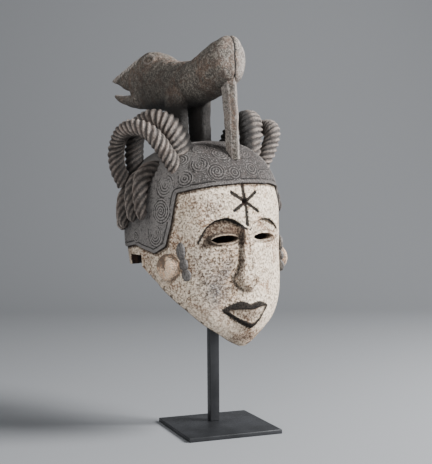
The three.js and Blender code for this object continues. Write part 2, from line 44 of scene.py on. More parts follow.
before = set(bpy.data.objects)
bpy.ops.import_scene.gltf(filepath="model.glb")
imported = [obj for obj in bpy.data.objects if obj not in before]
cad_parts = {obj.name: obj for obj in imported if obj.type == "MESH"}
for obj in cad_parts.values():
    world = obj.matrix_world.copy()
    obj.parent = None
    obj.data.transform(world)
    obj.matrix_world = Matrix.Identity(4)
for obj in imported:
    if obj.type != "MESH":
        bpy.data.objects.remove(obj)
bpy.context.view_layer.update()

# Place of the mask on its post
LEAN = math.radians(2.4)
SHIFT = np.array([5.7, -25.3, 0.0])
MM = 0.001
SIDES = ((-1, "right"), (1, "left"))

# Head: heights, half widths, centres and fronts of its level sections below the dome
JAW_Z = [127, 133, 150, 162, 183, 203, 222, 245, 300]
JAW_HALF = [5, 17, 41, 57, 75, 88, 95, 97, 98]
JAW_CENTRE = [-31, -30, -27, -21, -6, 15, 33, 42, 42]
JAW_FRONT = [-36, -40, -45, -48, -50, -51, -52, -53, -55]
JAW_TOP = 222.0
DOME_START = 300.0
CROWN = 414.5
DOME_POWER = 2.6
SECTION_POWER = 2.5
BACK = 141.0
REAR_TUCK = 12.0
REAR_RIM = [[90, 97, 115, 180], [222, 240, 243, 236]]
HAIRLINE = [
    [0, 25, 45, 60, 66, 73, 86, 102, 120, 180],
    [355, 353, 349, 345, 301, 272, 262, 273, 268, 266],
]
# The hollow: its skin starts at this inset, and its chin ends and closes over these heights
HOLLOW_INSET = 5
INNER_CHIN = 139.0
CHIN_CLOSING = 30
CHIN_SHIFT = 4
LEAST = 0.02
# What a point's distance to a line is where the line can't reach it
FAR_OFF = 99.0
# Roots of hair and legs end this deep in the wall
ROOT_INSET = 10.0
ROOT_LOW = JAW_TOP - 7

# Angles round the head, four to a degree
ROUND = np.linspace(-180, 180, 1441)

# Net of the head: columns, rows of each zone, and shares of the way across the rim's lip
HEAD_COLUMNS = 272
COLUMN_WEIGHT = [[0, 58, 62, 70, 74, 95, 180], [1, 1, 1.4, 1.4, 0.7, 0.45, 0.38]]
CAP_ROWS, CAP_EDGE_ROWS, CAP_EDGE = 58, 24, 0.86
FACE_ROWS = 186
HOLLOW_ROWS = 30
# The step from cap to face: height over the edge, and share of the coiffure's rise
CAP_STEP = ((0.2, 0.85), (0.0, 0.5))
RIM_LIP = (0.06, 0.3, 0.7, 0.94)
FACE_HALF_ANGLE = 78

# Face, seen from the front
BROWS = [
    [(-69, 276), (-66.9, 280.5), (-59, 295.9), (-48.4, 304.3), (-33.4, 307.4), (-22.3, 304.6),
     (-11.7, 298.8), (-2.5, 291.5)],
    [(3.8, 290.4), (14.2, 298.5), (30.5, 304.5), (45.2, 302.4), (58.8, 294.4), (70.4, 282.8)],
]
BROW_HALF = 2.3
EYE_X = 34.0
EYE_Z = 279.5
LID_HALF, LID_TALL, LID_RISE, LID_SINK = 24, 8.8, 6.6, 4
SOCKET_FOOT, SOCKET_HALF = 266, 64
# Each slit: middle, half length and half height
SLITS = {-1: (-34.5, 22.5, 5.3), 1: (30.5, 17.0, 4.8)}
SLIT_FRONT, SLIT_DEPTH = -84.0, 64
NOSE_Z = [204, 209, 220, 233, 252, 288, 303]
NOSE_HALF = [8, 12, 16, 12, 10, 7, 5]
NOSE_RISE = [-4, 9, 10, 8.5, 7, 3.5, -2]
NOSE_FOOT = [9, 15, 21, 16, 13, 11, 6]
NOSE_EDGE = [(0, 284), (1, 262), (3, 246), (6, 228), (9, 212), (6, 206), (-4, 204)]
NOSE_SHADOW = [
    (-8, 286), (-12, 270), (-13, 244), (-19, 232), (-25, 226), (-24, 221), (-17, 213), (-10, 207),
]
WING_DROOP, WING_HALF = 0.62, 21
LIPS = [
    (38, 182), (30, 187), (18, 191), (9, 190.5), (2, 187), (-4.7, 192), (-14, 194), (-23, 193),
    (-35, 188), (-45, 183), (-36, 175), (-24, 166), (-12, 158), (2, 151.5), (10, 155),
    (20, 163.5), (30, 175),
]
MOUTH = [
    (29, 183), (14.6, 181.5), (2, 179.5), (-8, 181.3), (-20, 182), (-34, 182.2), (-28, 176),
    (-16, 168.3), (1.2, 160.6), (11.4, 164.6), (21, 173.5),
]
MOUTH_DEPTH = 3.2
MUZZLE_Z, MUZZLE_HALF, MUZZLE_RISE = 176, 42, 4
STAR = [
    [(-1.2, 352), (-1.0, 331), (0.9, 320), (1.6, 297)],
    [(-20.9, 342.6), (0, 329)], [(-18.8, 317.5), (0, 329)],
    [(20.3, 342), (0, 329)], [(21.4, 315.4), (0, 329)],
]
STAR_HALF = [3.8, 3.4, 3.3, 3.1, 3.1]

# Stains in the front view, the first list also painted shade on the face's right side:
# strength, place, half width and half height
DIRT_AND_SHADE = [(0.7, -30, 252, 30, 40), (0.55, -36, 205, 26, 30)]
WARM = [(1, -62, 178, 26, 16), (1, -40, 150, 26, 14), (0.5, -20, 138, 30, 12)]
COOL = [
    (0.9, -50, 210, 16, 24), (0.5, -66, 250, 12, 30), (0.7, -34, 238, 9, 12),
    (0.45, -50, 324, 17, 14),
]
BROWN = [(0.35, -5, 172, 22, 10), (0.95, -4, 140, 26, 13), (0.4, 1, 211, 9, 9)]

# Rim: the notch behind the right ear, and cord holes by height and the angle round the head
# behind the ear, or 0 beside the jaw's edge
NOTCH = (-95, 92, 228)
NOTCH_SIZE = (60, 44, 60)
HOLE_MARGIN = 4.5
HOLE_RADIUS, HOLE_DEPTH = 1.9, 9
RIM_HOLES = [(165, 0), (184, 0), (192.5, 0), (202, 0), (212, 0), (230, 92.5), (241, 96)]

# Ears: centre and half sizes of the boss and of its hollow
EAR, EAR_HALF = (94, 3, 243), (14, 21.5, 19)
EAR_BOWL, EAR_BOWL_HALF = (108, 8, 247), (9, 13.5, 13)
EAR_INSET = 9.0
EAR_FINENESS = 0.0009
# Bosses on the temple: height, depth, half depth, half height
TEMPLE_MARKS = [(265.5, -16, 9.5, 12.5), (247.5, -18.5, 9.5, 8.6), (233, -21, 10.5, 8.6)]
TEMPLE_RISE = 4.5

# Rope hair: paths of the two arches on one side, then the hanging locks
OUTER_ARCH = [
    (66, 6, 364), (76, 4, 381), (91, 5, 404), (104, 12, 425), (112, 26, 435), (117, 43, 438),
    (118, 64, 435), (117, 84, 424), (116, 95, 408), (113, 98, 384), (104, 94, 358),
]
INNER_ARCH = [
    (55, 18, 372), (60, 13, 391), (61, 11, 408), (66, 14, 427), (73, 24, 443), (81, 40, 451),
    (84, 60, 450), (85, 82, 441), (83, 99, 417), (78, 107, 385), (68, 104, 356),
]
# For each arch: its path, its swelling at the front, and how much shade is painted on its inner
# side, on its rear and over the whole of it
ROPES = {
    "outer": (OUTER_ARCH, 0.0, 0.62, 0.4, 0.0),
    "inner": (INNER_ARCH, 0.24, 1.0, 0.85, 0.25),
}
ROPE_ROW, ROPE_AROUND = 0.95, 80
# Each lock: how far out, how deep, its root's height and its tip's
LOCKS = [(117, 40, 378, 310), (114, 69, 368, 307), (112, 98, 352, 299), (101, 121, 342, 297)]
# A lock's path: steps outwards, in depth, and in height from its root
LOCK_PATH = [(-46, 6, 4), (-26, 4, 2), (-10, 1, -12), (-1, -6, -38)]
LOCK_END = (4, -16)
LOCK_ROW, LOCK_AROUND = 1.0, 64
LOCK_TAPER = 1 - 6.2 / 13.5

# Whorls cut into the coiffure: angle round the head in degrees from the face, height, radius
WHORLS = [
    (-73, 356, 15), (-76, 321, 16.5), (-83.5, 288, 15), (-52, 364, 11), (-20, 372, 13),
    (-37, 383, 12.5), (-13, 397, 12), (-4.5, 370, 10), (8.5, 375, 11), (19, 364, 10),
    (-38, 405, 12), (-60, 389, 12), (73, 356, 15), (76, 321, 16.5), (83.5, 288, 15),
    (52, 364, 11), (35, 383, 12.5), (12, 398, 12), (36, 406, 12), (60, 389, 12), (30, 364, 9),
    (100, 285, 9), (122, 284, 10), (143, 285, 11), (-100, 285, 9), (-122, 284, 10),
    (-143, 285, 11), (180, 288, 12), (163, 294, 11), (-163, 294, 11), (180, 318, 13),
    (158, 326, 14), (-158, 326, 14), (180, 350, 13), (160, 359, 12), (-160, 359, 12),
    (180, 383, 13), (140, 388, 12), (-140, 388, 12),
]
WHORL_SCALE = 1.2
SPIRAL_FROM = 11.5
WHORL_INSET = -3.0
RING_GAP = 3.9
RING_ROW = 0.62

# Beast: depth, top, bottom and half width of its stations
BEAST_BODY = [
    (-43, 545, 505, 6), (-38, 555, 498, 19), (-30, 559, 493, 27), (-16, 556, 487, 31),
    (6, 549, 480, 31), (32, 541, 474, 30), (60, 536, 470, 30), (90, 539, 469, 30),
    (120, 547, 469, 30), (150, 560, 471, 29), (172, 564, 473, 27), (200, 559, 477, 23),
    (218, 553, 480, 19),
]
UPPER_JAW = [
    (200, 558, 496, 22), (215, 555, 499, 20), (230, 551, 504, 18), (245, 547, 510, 16),
    (270, 541, 521, 12), (298, 534, 529, 5),
]
LOWER_JAW = [
    (200, 508, 478, 22), (215, 505, 479, 19), (230, 503.5, 482, 17), (245, 503.5, 486, 15),
    (270, 505.5, 494, 11), (291, 510, 503, 6),
]
BARREL_POWER = 0.85
# Sections along and points around each net
BODY_ROWS, BODY_AROUND = 220, 56
JAW_ROWS, JAW_AROUND = 80, 40
LEG_ROWS, LEG_AROUND = 60, 40
TAIL_ROWS, TAIL_FACET = 90, 8
# A leg: height, distance from the middle, depth, half width, half depth
BEAST_LEG = [
    (386, 21, 82, 13, 23), (440, 20, 80, 12.5, 23), (468, 20, 80, 13, 25), (484, 19, 80, 14, 30),
    (505, 17, 80, 14, 36),
]
EYE_BOSS = (21, 150, 548)
EYE_BALL, EYE_RING, EYE_PUPIL = 9.5, 6.6, 3.6
COMB_LINE = [(192, 558), (294, 533.5)]
RUMP_KNOB, KNOB_SIZE = (0, -31, 558), 8
# The tail prop: height, half width, and depths of its ridge, shoulders and back
TAIL = [
    (378, 6.5, -41, -35, -23), (440, 7, -41, -35, -21), (478, 7.5, -40, -34, -19),
    (508, 9, -38, -31, -12),
]
TAIL_FOOT = 388

# Stand, its parts a hair apart as the solids are
PLATE_SIDE = 139.0
PLATE_THICK = 6.0
POST_SIDE = 14.0
POST_X = 5.7
POST_Y = 21.7
POST_TOP = 400.2
STAND_GAP = 0.3
TURN = math.radians(-14)

# Stage, in metres and degrees
FLOOR_HALF, FLOOR_NEAR, FLOOR_FAR, WALL_HIGH, WALL_CURVE = 6.0, -3.2, 2.6, 4.0, 1.1
ROOM_COLOUR, ROOM_LIGHT = (0.78, 0.80, 0.83, 1), 0.36
KEY_PLACE, KEY_SIZE = (1.2, -1.25, 1.3), 0.8
FILL_PLACE, FILL_SIZE = (-1.5, -1.2, 0.7), 1.3
LIGHTS_AIM = Vector((0, 0, 0.33))
CAMERA_PLACE = (-0.7919, -1.1271, 0.3257)
CAMERA_AROUND, CAMERA_DOWN, CAMERA_ROLL = (math.radians(a) for a in (-35, 1.677, -0.397))


# Shapes by number

def smooth(low, high, value):
    """Rises from 0 to 1 between two values, and falls where low is above high."""
    part = np.clip((value - low) / (high - low), 0.0, 1.0)
    return part * part * (3.0 - 2.0 * part)


def hermite(part):
    """Weights of a start, its slope, an end and its slope, at a part of the way."""
    square, cube = part * part, part * part * part
    return 2 * cube - 3 * square + 1, cube - 2 * square + part, 3 * square - 2 * cube, cube - square


def flowing(keys, values, at):
    """Follows a table without kinks and without overshooting it."""
    keys, values = np.asarray(keys, float), np.asarray(values, float)
    gap = np.diff(keys)
    slope = np.diff(values) / gap
    tangent = np.zeros_like(values)
    tangent[0], tangent[-1] = slope[0], slope[-1]
    before, after = slope[:-1], slope[1:]
    near, far = 2 * gap[1:] + gap[:-1], gap[1:] + 2 * gap[:-1]
    same = before * after > 0
    safe = np.where(same, before, 1.0), np.where(same, after, 1.0)
    tangent[1:-1] = np.where(same, (near + far) / (near / safe[0] + far / safe[1]), 0.0)
    index = np.clip(np.searchsorted(keys, at) - 1, 0, len(gap) - 1)
    start, leave, end, reach = hermite(np.clip((at - keys[index]) / gap[index], 0.0, 1.0))
    return (start * values[index] + leave * gap[index] * tangent[index]
            + end * values[index + 1] + reach * gap[index] * tangent[index + 1])


def soft_max(first, second, blend):
    """The larger of two, with the crease between them rounded."""
    part = np.clip(0.5 + 0.5 * (first - second) / blend, 0.0, 1.0)
    return second + (first - second) * part + blend * part * (1 - part)


def curved(wave, power):
    """A sine or cosine bent towards a box or a lens."""
    return np.sign(wave) * np.abs(wave) ** power


def bell(away, wide, power=2):
    """1 at a place, fading to 0 round it."""
    return np.exp(-(away / wide) ** power)


def unit(ways):
    """Directions of length 1."""
    return ways / np.linalg.norm(ways, axis=-1, keepdims=True)


def lengths(line):
    """How far along a line of points each of them lies."""
    return np.concatenate([[0], np.cumsum(np.linalg.norm(np.diff(line, axis=0), axis=1))])


def sampled(line, length, at):
    """Places on a line of points at lengths along it."""
    return np.stack([np.interp(at, length, line[:, axis]) for axis in range(3)], axis=-1)


def leaned(points, way):
    """Points or directions turned by the mask's lean, one way or back."""
    x, y, z = np.moveaxis(points, -1, 0)
    sine, cosine = way * math.sin(LEAN), math.cos(LEAN)
    return np.stack([x * cosine - z * sine, y, x * sine + z * cosine], axis=-1)


def to_world(points):
    """Metres in the frame from the mask's own millimetres."""
    return (leaned(points, 1) + SHIFT) * MM


def to_mask(points):
    """The mask's own millimetres from metres in the frame."""
    return leaned(points / MM - SHIFT, -1)


def section(height, inset=0.0):
    """Half width, centre, front and back depths of a level section of the head."""
    height = np.asarray(height, float)
    low = np.minimum(height, DOME_START)
    half, centre, front = (flowing(JAW_Z, row, low) for row in (JAW_HALF, JAW_CENTRE, JAW_FRONT))
    close = 1.0
    if inset > HOLLOW_INSET:
        close = np.clip(np.sqrt(np.clip(low - INNER_CHIN, 0, None) / CHIN_CLOSING), 0, 1)
    tuck = REAR_TUCK * np.clip((DOME_START - low) / (DOME_START - JAW_TOP), 0, 1) ** 2
    rise = np.clip((height - DOME_START) / (CROWN - inset - DOME_START), 0, 1)
    dome = (1 - rise ** DOME_POWER) ** (1 / DOME_POWER)
    half = np.maximum(LEAST, (half - inset) * close * dome)
    front = np.maximum(LEAST, (centre - front - inset) * close * dome)
    back = np.maximum(LEAST, (BACK - tuck - inset) * dome)
    return half, centre + (1 - close) * CHIN_SHIFT, front, back


def head_point(turn, height, inset=0.0):
    """A point of the head: the angle runs from the face, positive to the mask's left side."""
    half, centre, front, back = section(height, inset)
    sine, cosine = np.sin(turn), np.cos(turn)
    x = half * curved(sine, 2 / SECTION_POWER)
    reach = np.where(cosine > 0, front, back) * np.abs(cosine) ** (2 / SECTION_POWER)
    return np.stack([x, centre - np.sign(cosine) * reach, height + 0 * x], axis=-1)


def turn_of(points):
    """The angle round the head of points near it, in degrees from the face."""
    half, centre, front, back = section(points[..., 2])
    depth = np.where(points[..., 1] < centre, front, back)
    across = curved(points[..., 0] / half, SECTION_POWER / 2)
    along = curved((centre - points[..., 1]) / depth, SECTION_POWER / 2)
    return np.degrees(np.arctan2(across, along))


def head_depth(points, inset=0.0):
    """How far out from the head's middle each point lies, 1 on the skin at that inset, and the
    middle."""
    height = points[..., 2]
    half, centre, front, back = section(np.minimum(height, DOME_START), inset)
    depth = np.where(points[..., 1] < centre, front, back)
    level = (np.abs(points[..., 0] / half) ** SECTION_POWER
             + np.abs((points[..., 1] - centre) / depth) ** SECTION_POWER) ** (1 / SECTION_POWER)
    rise = np.clip((height - DOME_START) / (CROWN - inset - DOME_START), 0, None)
    dome = (level ** DOME_POWER + rise ** DOME_POWER) ** (1 / DOME_POWER)
    high = height > DOME_START
    middle = np.stack([0 * centre, centre, np.where(high, DOME_START, height)], axis=-1)
    return np.where(high, dome, level), middle


def on_skin(points, inset):
    """Moves points to the skin of the head at an inset."""
    for _ in range(3):
        out, middle = head_depth(points, inset)
        points = middle + (points - middle) / out[..., None]
    return points


def keep_in_wall(points, stop=ROOT_INSET):
    """Roots that would come out inside the hollow end within the wall."""
    out, _ = head_depth(points, stop)
    inside = (out < 1.0) & (points[..., 2] > ROOT_LOW)
    return np.where(inside[..., None], on_skin(points, stop), points)


def face_y(x, z):
    """Depth of the plain face at a place of the front view."""
    half, centre, front, _ = section(z)
    part = np.minimum(0.999, np.abs(x) / half)
    return centre - front * (1 - part ** SECTION_POWER) ** (1 / SECTION_POWER)


def line_distance(x, z, line):
    """Distance in the front view to a line through points."""
    best = np.full(np.shape(x), 1e9)
    for (ax, az), (bx, bz) in zip(line[:-1], line[1:]):
        dx, dz = bx - ax, bz - az
        part = np.clip(((x - ax) * dx + (z - az) * dz) / (dx * dx + dz * dz), 0, 1)
        best = np.minimum(best, np.hypot(x - ax - part * dx, z - az - part * dz))
    return best


def inside_distance(x, z, outline):
    """Distance to a closed outline with cut corners, above 0 inside it."""
    points = np.asarray(outline, float)
    for _ in range(2):
        after = np.roll(points, -1, axis=0)
        points = np.stack([0.82 * points + 0.18 * after, 0.18 * points + 0.82 * after], axis=1)
        points = points.reshape(-1, 2)
    closed_line = np.vstack([points, points[:1]])
    inside = np.zeros(np.shape(x), bool)
    for (ax, az), (bx, bz) in zip(closed_line[:-1], closed_line[1:]):
        if az != bz:
            inside ^= ((az > z) != (bz > z)) & (x < ax + (z - az) * (bx - ax) / (bz - az))
    away = line_distance(x, z, closed_line)
    return np.where(inside, away, -away)


def brow_height(x):
    """Height of the brow line over the eye hollow."""
    return np.interp(x, *np.transpose(BROWS[0] + BROWS[1]))


def slit_height(part, tall):
    """Half height of an eye slit at a part of its half length."""
    return tall * (1 - part ** 2.6) ** 0.75


def cut_profile(away, half):
    """Profile of a round cut, 1 in its middle and 0 at its half width."""
    return np.clip(1 - (away / half) ** 2, 0, 1)


def hand_cut(points, spread, seed):
    """A slow unevenness left by hand tools, about -1 to 1, in waves about the spread long."""
    rule = np.random.default_rng(seed)
    total = np.zeros(points.shape[:-1])
    for _ in range(14):
        way = unit(rule.normal(size=3))
        wave = points @ way * (2 * math.pi / spread) * rule.uniform(0.6, 1.7)
        total += np.sin(wave + rule.uniform(0, 6.3))
    return total / 4.0


def hair_edge(degrees):
    """Height of the coiffure's lower edge round the head, its corners eased."""
    weights = np.exp(-0.5 * (np.arange(-6, 7) * 0.25 / 0.7) ** 2)
    plain = np.pad(np.interp(np.abs(ROUND), *HAIRLINE), 6, mode="wrap")
    return np.interp(degrees, ROUND, np.convolve(plain, weights / weights.sum(), mode="valid"))


def face_relief(x, z, carve):
    """How far the carved face stands before the plain face, in the front view."""
    wide = np.abs(x)
    plain = face_y(x, z)
    brow = brow_height(x)
    outward = np.clip((wide - 3) / SOCKET_HALF, 0, 1)
    fade = np.minimum(np.minimum(1, 4 * (1 - outward)), 0.3 + 3 * outward)
    under = np.clip((z - SOCKET_FOOT) / np.maximum(brow - SOCKET_FOOT, 1), 0, 1) ** 0.9
    hollow = carve.hollow_depth / MM * fade * under * smooth(-0.3, 1.6, brow - z)
    hollow *= smooth(1.5, 5, wide) * smooth(SOCKET_HALF + 5, SOCKET_HALF, wide)
    muzzle = np.clip(1 - (np.hypot(x, z - MUZZLE_Z) / MUZZLE_HALF) ** 2, 0, None)
    face = MUZZLE_RISE * muzzle - hollow

    groove = np.minimum(*[line_distance(x, z, line) for line in BROWS])
    ends = np.maximum(BROW_HALF * smooth(71, 55, wide), 0.3)
    face -= carve.groove_depth / MM * cut_profile(groove, ends)

    lid = np.clip(1 - ((wide - EYE_X) / LID_HALF) ** 2 - ((z - EYE_Z) / LID_TALL) ** 2, 0, None)
    base = plain - face_y(EYE_X, EYE_Z)
    face = soft_max(face, np.where(lid > 0, LID_RISE * np.sqrt(lid) - LID_SINK + base, -99), 0.7)

    hung = z - WING_DROOP * np.minimum(wide, WING_HALF) * smooth(246, 222, z)
    half, rise, foot = (flowing(NOSE_Z, row, hung) for row in (NOSE_HALF, NOSE_RISE, NOSE_FOOT))
    flank = rise - (rise + 1.5) * (wide - half) / (foot - half)
    nose = -soft_max(-rise, -flank, 0.8) + plain - face_y(0 * x, z)
    on_nose = (hung > NOSE_Z[0] - 0.2) & (z < NOSE_Z[-1]) & (wide < foot + 3)
    face = soft_max(face, np.where(on_nose, nose, -99), 0.8)

    lift = np.interp(wide, [0, 39], [1, 2 / 7]) * carve.lip_rise / MM
    face += lift * smooth(-0.3, 4.6, inside_distance(x, z, LIPS))
    face -= MOUTH_DEPTH * smooth(-1.2, 1.2, inside_distance(x, z, MOUTH))
    for line, width in zip(STAR, STAR_HALF):
        face -= carve.star_depth / MM * cut_profile(line_distance(x, z, line), width) ** 0.7
    return face


# Meshes

def alone(piece=None):
    """Leaves nothing selected but the piece."""
    if bpy.context.object and bpy.context.object.mode != "OBJECT":
        bpy.ops.object.mode_set(mode="OBJECT")
    bpy.ops.object.select_all(action="DESELECT")
    if piece is not None:
        piece.select_set(True)
        bpy.context.view_layer.objects.active = piece


def vectors(piece, kind="co"):
    """Each point's place, or its normal."""
    made = np.empty(len(piece.data.vertices) * 3)
    piece.data.vertices.foreach_get(kind, made)
    return made.reshape(-1, 3)


def set_points(piece, places):
    """Moves each point to its place."""
    piece.data.vertices.foreach_set("co", np.ascontiguousarray(places, float).ravel())
    piece.data.update()


def edit(piece, *steps):
    """Runs mesh operators in edit mode on the whole piece."""
    alone(piece)
    bpy.ops.object.mode_set(mode="EDIT")
    bpy.ops.mesh.select_all(action="SELECT")
    for step in steps:
        step()
    bpy.ops.object.mode_set(mode="OBJECT")


def tidy(piece):
    """Merges doubles and turns every face outwards."""
    edit(
        piece,
        lambda: bpy.ops.mesh.remove_doubles(threshold=MM * MM),
        lambda: bpy.ops.mesh.normals_make_consistent(inside=False),
    )


def primitive(kind, **settings):
    """Adds one of Blender's own meshes with nothing else selected."""
    alone()
    getattr(bpy.ops.mesh, f"primitive_{kind}_add")(**settings)
    return bpy.context.object


def named(piece, name):
    """Names a piece and its mesh."""
    piece.name = piece.data.name = name
    return piece


def woven(name, sheet, **fields):
    """A grid of faces at the sheet's places, with a field's number kept on each point."""
    columns, rows = sheet.shape[0] - 1, sheet.shape[1] - 1
    piece = named(primitive("grid", x_subdivisions=columns, y_subdivisions=rows, size=1.0), name)
    flat = vectors(piece)
    column = np.rint((flat[:, 0] - flat[:, 0].min()) * columns).astype(int)
    row = np.rint((flat[:, 1] - flat[:, 1].min()) * rows).astype(int)
    set_points(piece, to_world(sheet[column, row]))
    mark(piece, **{key: values[column, row] for key, values in fields.items()})
    tidy(piece)
    return piece


def closed(name, sheet, **fields):
    """A woven tube whose seam and both ends are closed."""
    first, last = (
        np.repeat(sheet[:, end].mean(axis=0)[None], len(sheet), axis=0)[:, None] for end in (0, -1)
    )
    sheet = np.concatenate([first, sheet, last], axis=1)
    sheet[-1] = sheet[0]
    fields = {key: np.pad(part, ((0, 0), (1, 1)), mode="edge") for key, part in fields.items()}
    return woven(name, sheet, **fields)


def round_angles(around):
    """Angles of a full turn with its end, as a column."""
    return np.linspace(0, 2 * math.pi, around + 1)[:, None]


def apply_modifier(piece, kind, **settings):
    """Adds a modifier with its settings and applies it."""
    alone(piece)
    modifier = piece.modifiers.new(kind.title(), kind)
    for key, value in settings.items():
        setattr(modifier, key, value)
    bpy.ops.object.modifier_apply(modifier=modifier.name)


def cut(piece, tool):
    """Cuts with another mesh, which is then deleted."""
    faces = len(piece.data.polygons)
    apply_modifier(piece, "BOOLEAN", object=tool, operation="DIFFERENCE", solver="EXACT")
    if len(piece.data.polygons) < faces / 2:
        raise RuntimeError(f"the cut in {piece.name} has lost its faces")
    bpy.data.objects.remove(tool)


def remeshed(piece, cell, softening):
    """Joins what overlaps into one skin and softens it."""
    apply_modifier(piece, "REMESH", mode="VOXEL", voxel_size=cell)
    apply_modifier(piece, "SMOOTH", factor=0.5, iterations=softening)


def joined(name, parts):
    """Makes one piece of several."""
    alone(parts[0])
    for part in parts:
        part.select_set(True)
    bpy.ops.object.join()
    return named(bpy.context.object, name)


def apply_place(piece):
    """Leaves the piece at the origin, unturned and unscaled."""
    alone(piece)
    bpy.ops.object.transform_apply(location=True, rotation=True, scale=True)


def placed(piece):
    """Moves a primitive's own place into its mesh, and the mesh into the leaning mask."""
    apply_place(piece)
    set_points(piece, to_world(vectors(piece)))
    return piece


def mark(piece, **fields):
    """Stores one number for each point, for the materials."""
    for name, values in fields.items():
        layer = piece.data.attributes.new(name, "FLOAT", "POINT")
        layer.data.foreach_set("value", np.ascontiguousarray(values, np.float32))


def finish_piece(piece, material, node="mask", crease=40.0):
    """Shades a piece, gives it its material, hangs it on the root and hides the solid it stands in
    for.
    """
    alone(piece)
    bpy.ops.object.shade_smooth_by_angle(angle=math.radians(crease))
    piece.data.materials.clear()
    piece.data.materials.append(material)
    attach(piece, "root")
    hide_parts(node)


# Materials

class Amount:
    """A socket with a number, on which sums are written as in Python."""

    def __init__(self, finish, socket):
        self.finish = finish
        self.socket = socket

    def __add__(self, other):
        return self.finish.sum("ADD", self, other)

    def __sub__(self, other):
        return self.finish.sum("SUBTRACT", self, other)

    def __rsub__(self, other):
        return self.finish.sum("SUBTRACT", other, self)

    def __mul__(self, other):
        return self.finish.sum("MULTIPLY", self, other)

    __radd__ = __add__
    __rmul__ = __mul__

    def most(self, other):
        return self.finish.sum("MAXIMUM", self, other)

    def rising(self, low, high):
        """0 below one value and 1 above the other, eased between them."""
        node = self.finish.node(
            "ShaderNodeMapRange", {"interpolation_type": "SMOOTHSTEP"},
            {0: self, 1: low, 2: high, 3: 0.0, 4: 1.0},
        )
        return Amount(self.finish, node.outputs[0])

    def band(self, low, high, soft):
        """1 between two values."""
        return self.rising(low - soft, low + soft) * (1 - self.rising(high - soft, high + soft))


class Finish:
    """A surface material, built up node by node with the colours of one group of settings."""

    def __init__(self, name, look):
        self.look = look
        self.material = bpy.data.materials.new(name)
        self.material.use_nodes = True
        self.tree = self.material.node_tree
        self.tree.nodes.clear()
        self.surface = self.node("ShaderNodeBsdfPrincipled")
        self.node("ShaderNodeOutputMaterial", inputs={"Surface": self.surface.outputs[0]})
        self.place = self.node("ShaderNodeTexCoord").outputs["Object"]

    def node(self, kind, settings=None, inputs=None):
        """A node of a kind, with its settings and inputs."""
        node = self.tree.nodes.new(kind)
        for key, value in (settings or {}).items():
            setattr(node, key, value)
        for key, value in (inputs or {}).items():
            self.feed(node.inputs[key], value)
        return node

    def feed(self, socket, value):
        """Links a socket or sets its value. Text names a colour of the settings."""
        if isinstance(value, Amount):
            value = value.socket
        if isinstance(value, bpy.types.NodeSocket):
            self.tree.links.new(value, socket)
        else:
            socket.default_value = getattr(self.look, value) if isinstance(value, str) else value

    def sum(self, operation, first, second):
        node = self.node("ShaderNodeMath", {"operation": operation}, {0: first, 1: second})
        return Amount(self, node.outputs[0])

    def layers(self, base, *coats):
        """Colours laid over a base one after another, each with its share."""
        for share, coat in coats:
            base = self.node(
                "ShaderNodeMix", {"data_type": "RGBA", "clamp_factor": True},
                {0: share, 6: base, 7: coat},
            ).outputs[2]
        return base

    def grain(self, scale, detail, rough, twist=0.0, stretch=None):
        """Cloudy noise with features of one over the scale, in metres, spread from 0 to 1."""
        place = self.place
        if stretch:
            place = self.node(
                "ShaderNodeVectorMath", {"operation": "MULTIPLY"}, {0: place, 1: stretch},
            ).outputs[0]
        noise = self.node("ShaderNodeTexNoise", {}, {
            "Vector": place, "Scale": scale, "Detail": detail, "Roughness": rough,
            "Distortion": twist,
        })
        spread = self.node("ShaderNodeMapRange", {}, {0: noise.outputs["Fac"], 1: 0.34, 2: 0.66})
        return Amount(self, spread.outputs[0])

    def common_grains(self):
        """The dust and crumbs that the wooden pieces share."""
        return self.grain(900, 3, 0.7), self.grain(340, 4, 0.7, twist=0.3)

    def streaks(self):
        """Broader blotches, drawn out along the height."""
        return self.grain(105, 5, 0.7, twist=0.6, stretch=(1.3, 1.3, 0.8))

    def field(self, name):
        """The number that a mesh keeps on each point under this name."""
        settings = {"attribute_name": name, "attribute_type": "GEOMETRY"}
        return Amount(self, self.node("ShaderNodeAttribute", settings).outputs["Fac"])

    def done(self, base, roughness, relief=None, shine=0.5, metal=0.0):
        """Joins colour, roughness and relief (height, strength and depth) to the surface."""
        inputs = {"Base Color": base, "Roughness": roughness}
        if relief:
            height, strength, depth = relief
            inputs["Normal"] = self.node("ShaderNodeBump", {}, {
                "Strength": strength, "Distance": depth, "Height": height,
            }).outputs[0]
        for key, value in (inputs | {"Specular IOR Level": shine, "Metallic": metal}).items():
            self.feed(self.surface.inputs[key], value)
        return self.material


def colour(text):
    """A colour for the shaders from its six screen digits."""
    parts = [int(text[i:i + 2], 16) / 255 for i in (0, 2, 4)]
    return tuple(p / 12.92 if p <= 0.04045 else ((p + 0.055) / 1.055) ** 2.4 for p in parts)


